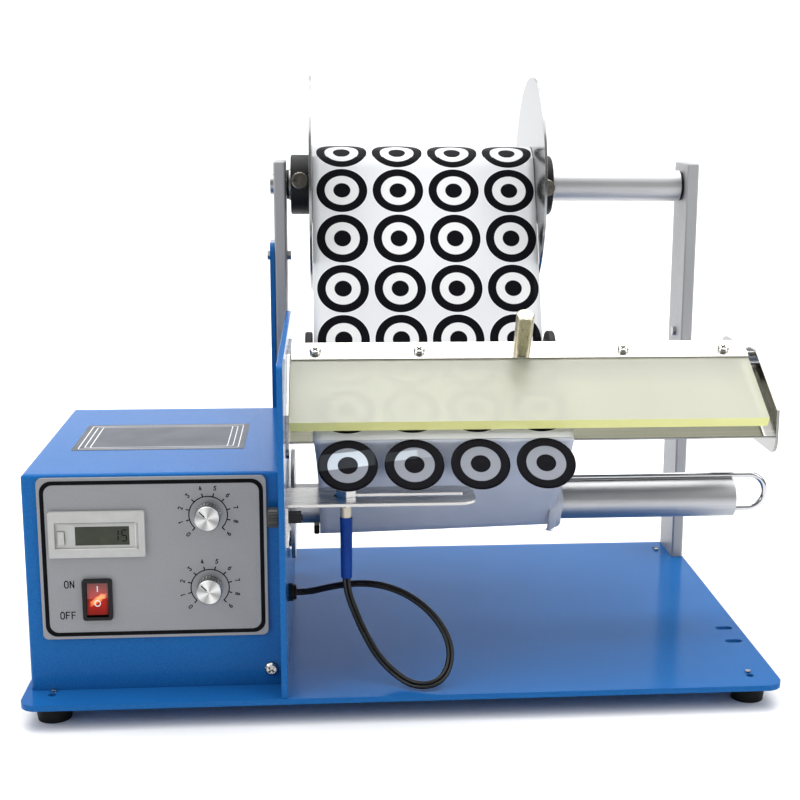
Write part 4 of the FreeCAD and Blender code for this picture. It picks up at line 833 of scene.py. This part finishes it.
def stroke(points, width, y):
    """A flat line of constant width through the points, facing the front."""
    verts, faces = [], []
    n = len(points)
    for i, (x, z) in enumerate(points):
        a = points[max(i - 1, 0)]
        b = points[min(i + 1, n - 1)]
        dx, dz = b[0] - a[0], b[1] - a[1]
        size = math.hypot(dx, dz) or 1.0
        ox, oz = -dz / size * width / 2, dx / size * width / 2
        verts += [at(x + ox, y, z + oz), at(x - ox, y, z - oz)]
        if i:
            faces.append((2 * i - 2, 2 * i - 1, 2 * i + 1, 2 * i))
    return verts, faces


def merged(parts):
    verts, faces = [], []
    for v, f in parts:
        start = len(verts)
        verts += v
        faces += [tuple(start + q for q in face) for face in f]
    return verts, faces


# Each character's strokes on a grid two wide and three high
characters = {
    "0": [[(0, .6), (0, 2.4), (.6, 3), (1.4, 3), (2, 2.4), (2, .6), (1.4, 0), (.6, 0), (0, .6)]],
    "1": [[(.4, 2.4), (1.1, 3), (1.1, 0)]],
    "2": [[(0, 2.4), (.5, 3), (1.5, 3), (2, 2.4), (2, 1.9), (0, 0), (2, 0)]],
    "3": [[(0, 3), (2, 3), (1, 1.9), (1.6, 1.7), (2, 1.2), (2, .5), (1.5, 0), (.5, 0), (0, .5)]],
    "4": [[(1.5, 0), (1.5, 3), (0, .9), (2, .9)]],
    "5": [[(1.9, 3), (.2, 3), (.1, 1.7), (1.4, 1.8), (2, 1.2), (2, .6), (1.4, 0), (.5, 0), (0, .4)]],
    "6": [[(1.7, 3), (.8, 2.6), (0, 1.4), (0, .6), (.6, 0), (1.4, 0), (2, .6), (2, 1.1), (1.4, 1.7), (.6, 1.7),
           (0, 1.2)]],
    "7": [[(0, 3), (2, 3), (.7, 0)]],
    "8": [[(1, 1.6), (.2, 2), (.2, 2.6), (.6, 3), (1.4, 3), (1.8, 2.6), (1.8, 2), (1, 1.6), (0, 1.1), (0, .5),
           (.5, 0), (1.5, 0), (2, .5), (2, 1.1), (1, 1.6)]],
    "9": [[(.3, 0), (1.2, .4), (2, 1.6), (2, 2.4), (1.4, 3), (.6, 3), (0, 2.4), (0, 1.9), (.6, 1.3), (1.4, 1.3),
           (2, 1.8)]],
    "O": [[(0, .6), (0, 2.4), (.6, 3), (1.4, 3), (2, 2.4), (2, .6), (1.4, 0), (.6, 0), (0, .6)]],
    "N": [[(0, 0), (0, 3), (2, 0), (2, 3)]],
    "F": [[(0, 0), (0, 3), (2, 3)], [(0, 1.6), (1.6, 1.6)]],
}


def words(items, y, width):
    """Flat lettering of single strokes. items: text, middle x, middle z, height, turn in degrees clockwise."""
    parts = []
    for text, x, z, size, turn in items:
        unit = size / 3
        pitch = 2.35 * unit
        c, s = math.cos(math.radians(turn)), math.sin(math.radians(turn))
        start = -pitch * (len(text) - 1) / 2 - 0.75 * unit
        for n, char in enumerate(text):
            for line in characters[char]:
                placed = []
                for px, pz in line:
                    dx = start + n * pitch + px * unit * 0.75
                    dz = (pz - 1.5) * unit
                    placed.append((x + dx * c + dz * s, z - dx * s + dz * c))
                for a, b in zip(placed, placed[1:]):
                    parts.append(stroke(extended(a, b, width * 0.35), width, y))
    return parts


def extended(a, b, extra):
    """The line from a to b, a little longer at both ends."""
    size = math.hypot(b[0] - a[0], b[1] - a[1])
    ux, uz = (b[0] - a[0]) / size * extra, (b[1] - a[1]) / size * extra
    return [(a[0] - ux, a[1] - uz), (b[0] + ux, b[1] + uz)]


def fascia_border():
    inset, width = 1.5, 2.1
    outer = rounded_loop(fascia_left + inset, fascia_bottom + inset, fascia_left + fascia_w - inset,
                         fascia_bottom + fascia_h - inset, 6.0)
    inner = rounded_loop(fascia_left + inset + width, fascia_bottom + inset + width,
                         fascia_left + fascia_w - inset - width, fascia_bottom + fascia_h - inset - width, 4.6)
    verts, faces = band(outer, inner, fascia_y - print_proud)
    add("fascia_border", verts, faces, "frame", ink, False, None)


fascia_border()

dial_x = -102.1
dial_places = {"length": 93.3, "speed": 54.5}
dial_ring_r = 9.7
tick_length = 1.9
digit_r = 14.4


def dial_scale(name, z0):
    y = fascia_y - print_proud
    arc = []
    for k in range(61):
        a = math.radians(225 - 270 * k / 60)
        arc.append((dial_x + dial_ring_r * math.cos(a), z0 + dial_ring_r * math.sin(a)))
    parts = [stroke(arc, 0.55, y)]
    items = []
    for digit in range(10):
        a = math.radians(225 - 30 * digit)
        c, s = math.cos(a), math.sin(a)
        parts.append(stroke([(dial_x + dial_ring_r * c, z0 + dial_ring_r * s),
                             (dial_x + (dial_ring_r + tick_length) * c, z0 + (dial_ring_r + tick_length) * s)],
                            0.6, y))
        items.append((str(digit), dial_x + digit_r * c, z0 + digit_r * s, 2.1, 90 - math.degrees(a)))
    verts, faces = merged(parts + words(items, y, 0.44))
    add(name + "_dial_scale", verts, faces, "frame", ink, False, None)


for dial, height in dial_places.items():
    dial_scale(dial, height)


def switch_words():
    y = fascia_y - print_proud
    verts, faces = merged(words([("ON", -173.0, 57.6, 3.6, 0), ("OFF", -174.2, 41.0, 3.6, 0)], y, 0.55))
    add("switch_words", verts, faces, "frame", ink, False, None)


switch_words()


def counter_print():
    """The step round the counter's panel and its reset button, as thin shadow and light lines."""
    low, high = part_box("counter_case")
    y = (low.y - layout_origin.y) * 1000 - 0.04
    x0, x1 = (low.x - layout_origin.x) * 1000, (high.x - layout_origin.x) * 1000
    z0, z1 = (low.z - layout_origin.z) * 1000, (high.z - layout_origin.z) * 1000
    px0, px1, pz0, pz1 = x0 + 3.3, x1 - 4.6, z0 + 4.6, z1 - 5.8
    dark = [stroke([(px0, pz0), (px0, pz1)], 0.35, y), stroke([(px0, pz1), (px1, pz1)], 0.35, y)]
    light = [stroke([(px0, pz0), (px1, pz0)], 0.3, y), stroke([(px1, pz0), (px1, pz1)], 0.3, y)]
    verts, faces = merged(dark)
    add("counter_step_shadow", verts, faces, "frame", step_shadow, False, None)
    verts, faces = merged(light)
    add("counter_step_light", verts, faces, "frame", step_light, False, None)


step_shadow = moulded("step_shadow", rgb(0.16, 0.16, 0.155), rgb(0.2, 0.2, 0.195), (0.5, 0.6), 2000, 0.00001)
step_light = moulded("step_light", rgb(0.62, 0.62, 0.6), rgb(0.7, 0.7, 0.68), (0.4, 0.5), 2000, 0.00001)
counter_print()

# Counter's display digits
lcd_segments = {"a": ((0, 2), (1, 2)), "b": ((1, 2), (1, 1)), "c": ((1, 1), (1, 0)), "d": ((0, 0), (1, 0)),
                "e": ((0, 1), (0, 0)), "f": ((0, 2), (0, 1)), "g": ((0, 1), (1, 1))}
lcd_shapes = {"1": "bc", "5": "afgcd"}


def counter_digits():
    low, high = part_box("counter_window")
    y = (low.y - layout_origin.y) * 1000 - 0.04
    mid_z = ((low.z + high.z) / 2 - layout_origin.z) * 1000
    right = (high.x - layout_origin.x) * 1000 - 1.6
    w, h = 2.4, 2.9
    parts = []
    for place, char in enumerate("15"):
        x0 = right - w - (1 - place) * 4.2
        for seg in lcd_shapes[char]:
            (ax, az), (bx, bz) = lcd_segments[seg]
            lean = 0.12
            p = (x0 + ax * w + lean * az * h / 2, mid_z + (az - 1) * h)
            q = (x0 + bx * w + lean * bz * h / 2, mid_z + (bz - 1) * h)
            size = math.hypot(q[0] - p[0], q[1] - p[1])
            cut = 0.28 / size
            p2 = (p[0] + (q[0] - p[0]) * cut, p[1] + (q[1] - p[1]) * cut)
            q2 = (q[0] - (q[0] - p[0]) * cut, q[1] - (q[1] - p[1]) * cut)
            parts.append(stroke([p2, q2], 0.55, y))
    verts, faces = merged(parts)
    add("counter_digits", verts, faces, "frame", ink, False, None)


counter_digits()

lcd_mat = moulded("lcd_glass", rgb(0.045, 0.05, 0.038), rgb(0.055, 0.06, 0.045), (0.2, 0.3), 800, 0.00001,
                  Specular_IOR_Level=0.08)


# Rocker marks: a bar on the upper half, a ring on the lower, set square to its tilted faces
def rocker_marks():
    low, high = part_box("switch_rocker")
    mid = (low + high) / 2
    x = (mid.x - layout_origin.x) * 1000
    z = (mid.z - layout_origin.z) * 1000
    pivot_y = 20.5
    tilt = math.radians(-9.0)
    face_y, dish = 17.1, 0.9
    half = 8.2

    def on_face(dx, dz):
        y0 = face_y + dish * (1 - abs(dz) / half) - 0.05
        ry, rz = y0 - pivot_y, dz
        return at(x + dx, pivot_y + ry * math.cos(tilt) - rz * math.sin(tilt),
                  49.5 + ry * math.sin(tilt) + rz * math.cos(tilt))

    verts, faces = [], []
    for dx, dz in ((-0.3, 3.6), (0.3, 3.6), (0.3, 6.6), (-0.3, 6.6)):
        verts.append(on_face(dx, dz))
    faces.append((0, 1, 2, 3))
    for r in (1.15, 1.6):
        for k in range(32):
            a = math.tau * k / 32
            verts.append(on_face(r * math.cos(a), -2.4 + r * math.sin(a)))
    faces += [(4 + k, 4 + (k + 1) % 32, 36 + (k + 1) % 32, 36 + k) for k in range(32)]
    add("rocker_marks", verts, faces, "power_rocker", white_ink, False, None)


rocker_marks()


# Knob pointers
def knob_pointer(name, body, z0):
    low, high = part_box(name)
    y = (low.y - layout_origin.y) * 1000 - 0.05
    a = math.radians(135)
    c, s = math.cos(a), math.sin(a)
    verts, faces = stroke([(dial_x + 1.6 * c, z0 + 1.6 * s), (dial_x + 5.4 * c, z0 + 5.4 * s)], 0.6, y)
    add(name + "_pointer", verts, faces, body, ink, False, None)


knob_pointer("length_knob", "length_dial", dial_places["length"])
knob_pointer("speed_knob", "speed_dial", dial_places["speed"])


# Bare plate on the box's top, with thin nested outlines
def top_sticker():
    x0, x1, y0, y1, z = -178.5, -86.5, 70.0, 131.0, 115.0
    mat = moulded("sticker_grey", rgb(0.03, 0.04, 0.055), rgb(0.042, 0.052, 0.068), (0.3, 0.4), 1200, 0.00001,
                  Specular_IOR_Level=0.35)
    proud = 0.12
    loop = rounded_loop(x0, y0, x1, y1, 0.6, 3)
    verts = [at(x, y, z + proud) for x, y in loop]
    add("top_sticker", verts, [tuple(range(len(verts)))], "frame", mat, False, None)
    parts = []
    for k, (gap_x, gap_y) in enumerate(((3.0, 3.0), (6.0, 6.0), (9.0, 6.0))):
        outer = rounded_loop(x0 + gap_x, y0 + gap_y, x1 - gap_x, y1 - gap_y, 1.5, 4)
        inner = rounded_loop(x0 + gap_x + 0.5, y0 + gap_y + 0.5, x1 - gap_x - 0.5, y1 - gap_y - 0.5, 1.1, 4)
        n = len(outer)
        v = [at(x, y, z + proud + 0.03 + 0.01 * k) for x, y in outer + inner]
        parts.append((v, [(i, (i + 1) % n, n + (i + 1) % n, n + i) for i in range(n)]))
    verts, faces = merged(parts)
    add("top_sticker_lines", verts, faces, "frame", white_ink, False, None)


top_sticker()

# The needle's lit tip
def needle_light():
    mat, t, s = new_material("red_spot", Emission_Strength=6.0)
    glow = spread(t, noise(t, 2000, 2.0), 0.3, 0.7, 0.6, 1.0)
    t.links.new(blend_colours(t, glow, rgb(0.8, 0.02, 0.02), rgb(1.0, 0.06, 0.05)), s.inputs["Emission Color"])
    low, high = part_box("sensor_head")
    top = high.z + 0.00002
    mid = (low + high) / 2
    verts = [Vector((mid.x, mid.y, top))]
    for k in range(16):
        a = math.tau * k / 16
        verts.append(Vector((mid.x + 0.0005 * math.cos(a), mid.y + 0.0005 * math.sin(a), top)))
    faces = [(0, 1 + k, 1 + (k + 1) % 16) for k in range(16)]
    add("needle_light", verts, faces, "sensor", mat, False, None)


needle_light()

# Finishes of the carried-over pieces
finishes = {
    blue: ["base_plate", "side_plate", "rear_riser", "box_cover", "box_rear_panel"],
    post_paint: ["left_post", "right_post"],
    rubber: ["rubber_feet", "cable_grommet"],
    zinc: ["post_bolts", "axle_pins", "potentiometers", "gear_motor"],
    threaded: ["sensor_head"],
    anodised: ["supply_shaft", "spool_tube", "spool_hub", "guide_rod"],
    disc_metal: ["left_disc", "right_disc"],
    black: ["shaft_bushes", "left_collar", "right_collar", "left_guide_ring", "right_guide_ring",
            "bracket_block", "switch_housing", "power_inlet", "fibre_amplifier"],
    screw_dark: ["left_thumb_screw", "right_thumb_screw"],
    knurl_black: ["clamp_knob"],
    card: ["roll_core"],
    polished: ["label_tray"],
    strip_metal: ["clamp_strip"],
    bright: ["cover_hinge_rod", "hairpin_clip", "sensor_nuts"],
    screw_bright: ["pan_screws", "strip_screws"],
    acrylic: ["acrylic_cover"],
    yellow_zinc: ["lift_pillar"],
    bronze: ["spool_bearing"],
    stainless: ["sensor_bracket"],
    sleeve_blue: ["sensor_sleeve"],
    fascia_metal: ["fascia_plate"],
    beige: ["counter_case", "reset_button"],
    lcd_mat: ["counter_window"],
    lit_lens(): ["switch_rocker"],
    board_green: ["control_board"],
    spun_face("length_knob_face", "length_knob"): ["length_knob"],
    spun_face("speed_knob_face", "speed_knob"): ["speed_knob"],
}
for mat, names in finishes.items():
    for name in names:
        nodes[name].data.materials.clear()
        nodes[name].data.materials.append(mat)


# Floor, light and sky
def studio():
    floor_mat, t, s = new_material("floor", Roughness=0.6)
    t.links.new(blend_colours(t, noise(t, 4, 2.0), rgb(0.88, 0.88, 0.89), rgb(0.92, 0.92, 0.92)),
                s.inputs["Base Color"])
    size, bend_y, radius, height = 6.0, 1.6, 1.2, 4.0
    profile = [(-size, 0.0), (bend_y, 0.0)]
    for k in range(1, 13):
        a = math.radians(90 * k / 12)
        profile.append((bend_y + radius * math.sin(a), radius - radius * math.cos(a)))
    profile.append((bend_y + radius, height))
    verts = []
    for y, z in profile:
        verts += [Vector((-size, y, z)), Vector((size, y, z))]
    faces = [(2 * i, 2 * i + 1, 2 * i + 3, 2 * i + 2) for i in range(len(profile) - 1)]
    floor = add("floor", verts, faces, None, floor_mat, True)

    world = bpy.data.worlds.new("world")
    bpy.context.scene.world = world
    world.use_nodes = True
    t = world.node_tree
    way = put(t, "ShaderNodeSeparateXYZ", {0: put(t, "ShaderNodeTexCoord").outputs["Generated"]})
    overhead = spread(t, way.outputs["Z"], 0.2, 0.9, 0.0, 0.3)
    behind = spread(t, way.outputs["Y"], 0.0, 1.0, 0.0, 0.4)
    sky = maths(t, "ADD", maths(t, "ADD", overhead, behind), 0.24)
    back = t.nodes["Background"]
    back.inputs["Color"].default_value = (0.96, 0.98, 1.0, 1.0)
    t.links.new(sky, back.inputs["Strength"])

    lamps = (
        ("overhead", (0.0, 0.4, 1.9), (0, 0.15, 0.1), 3.0, 52),
        ("left", (-1.3, -0.9, 1.0), (0, 0, 0.15), 0.9, 9),
        ("right", (1.4, -0.8, 1.0), (0, 0, 0.15), 0.9, 8),
        ("backdrop", (0.0, 0.6, 2.4), (0, 2.7, 0.5), 2.4, 46),
    )
    for name, place, aim, size, power in lamps:
        light = bpy.data.lights.new(name, "AREA")
        light.size = size
        light.energy = power
        obj = bpy.data.objects.new(name, light)
        obj.location = place
        obj.rotation_mode = "QUATERNION"
        obj.rotation_quaternion = (Vector(aim) - Vector(place)).to_track_quat("-Z", "Y")
        bpy.context.scene.collection.objects.link(obj)


studio()
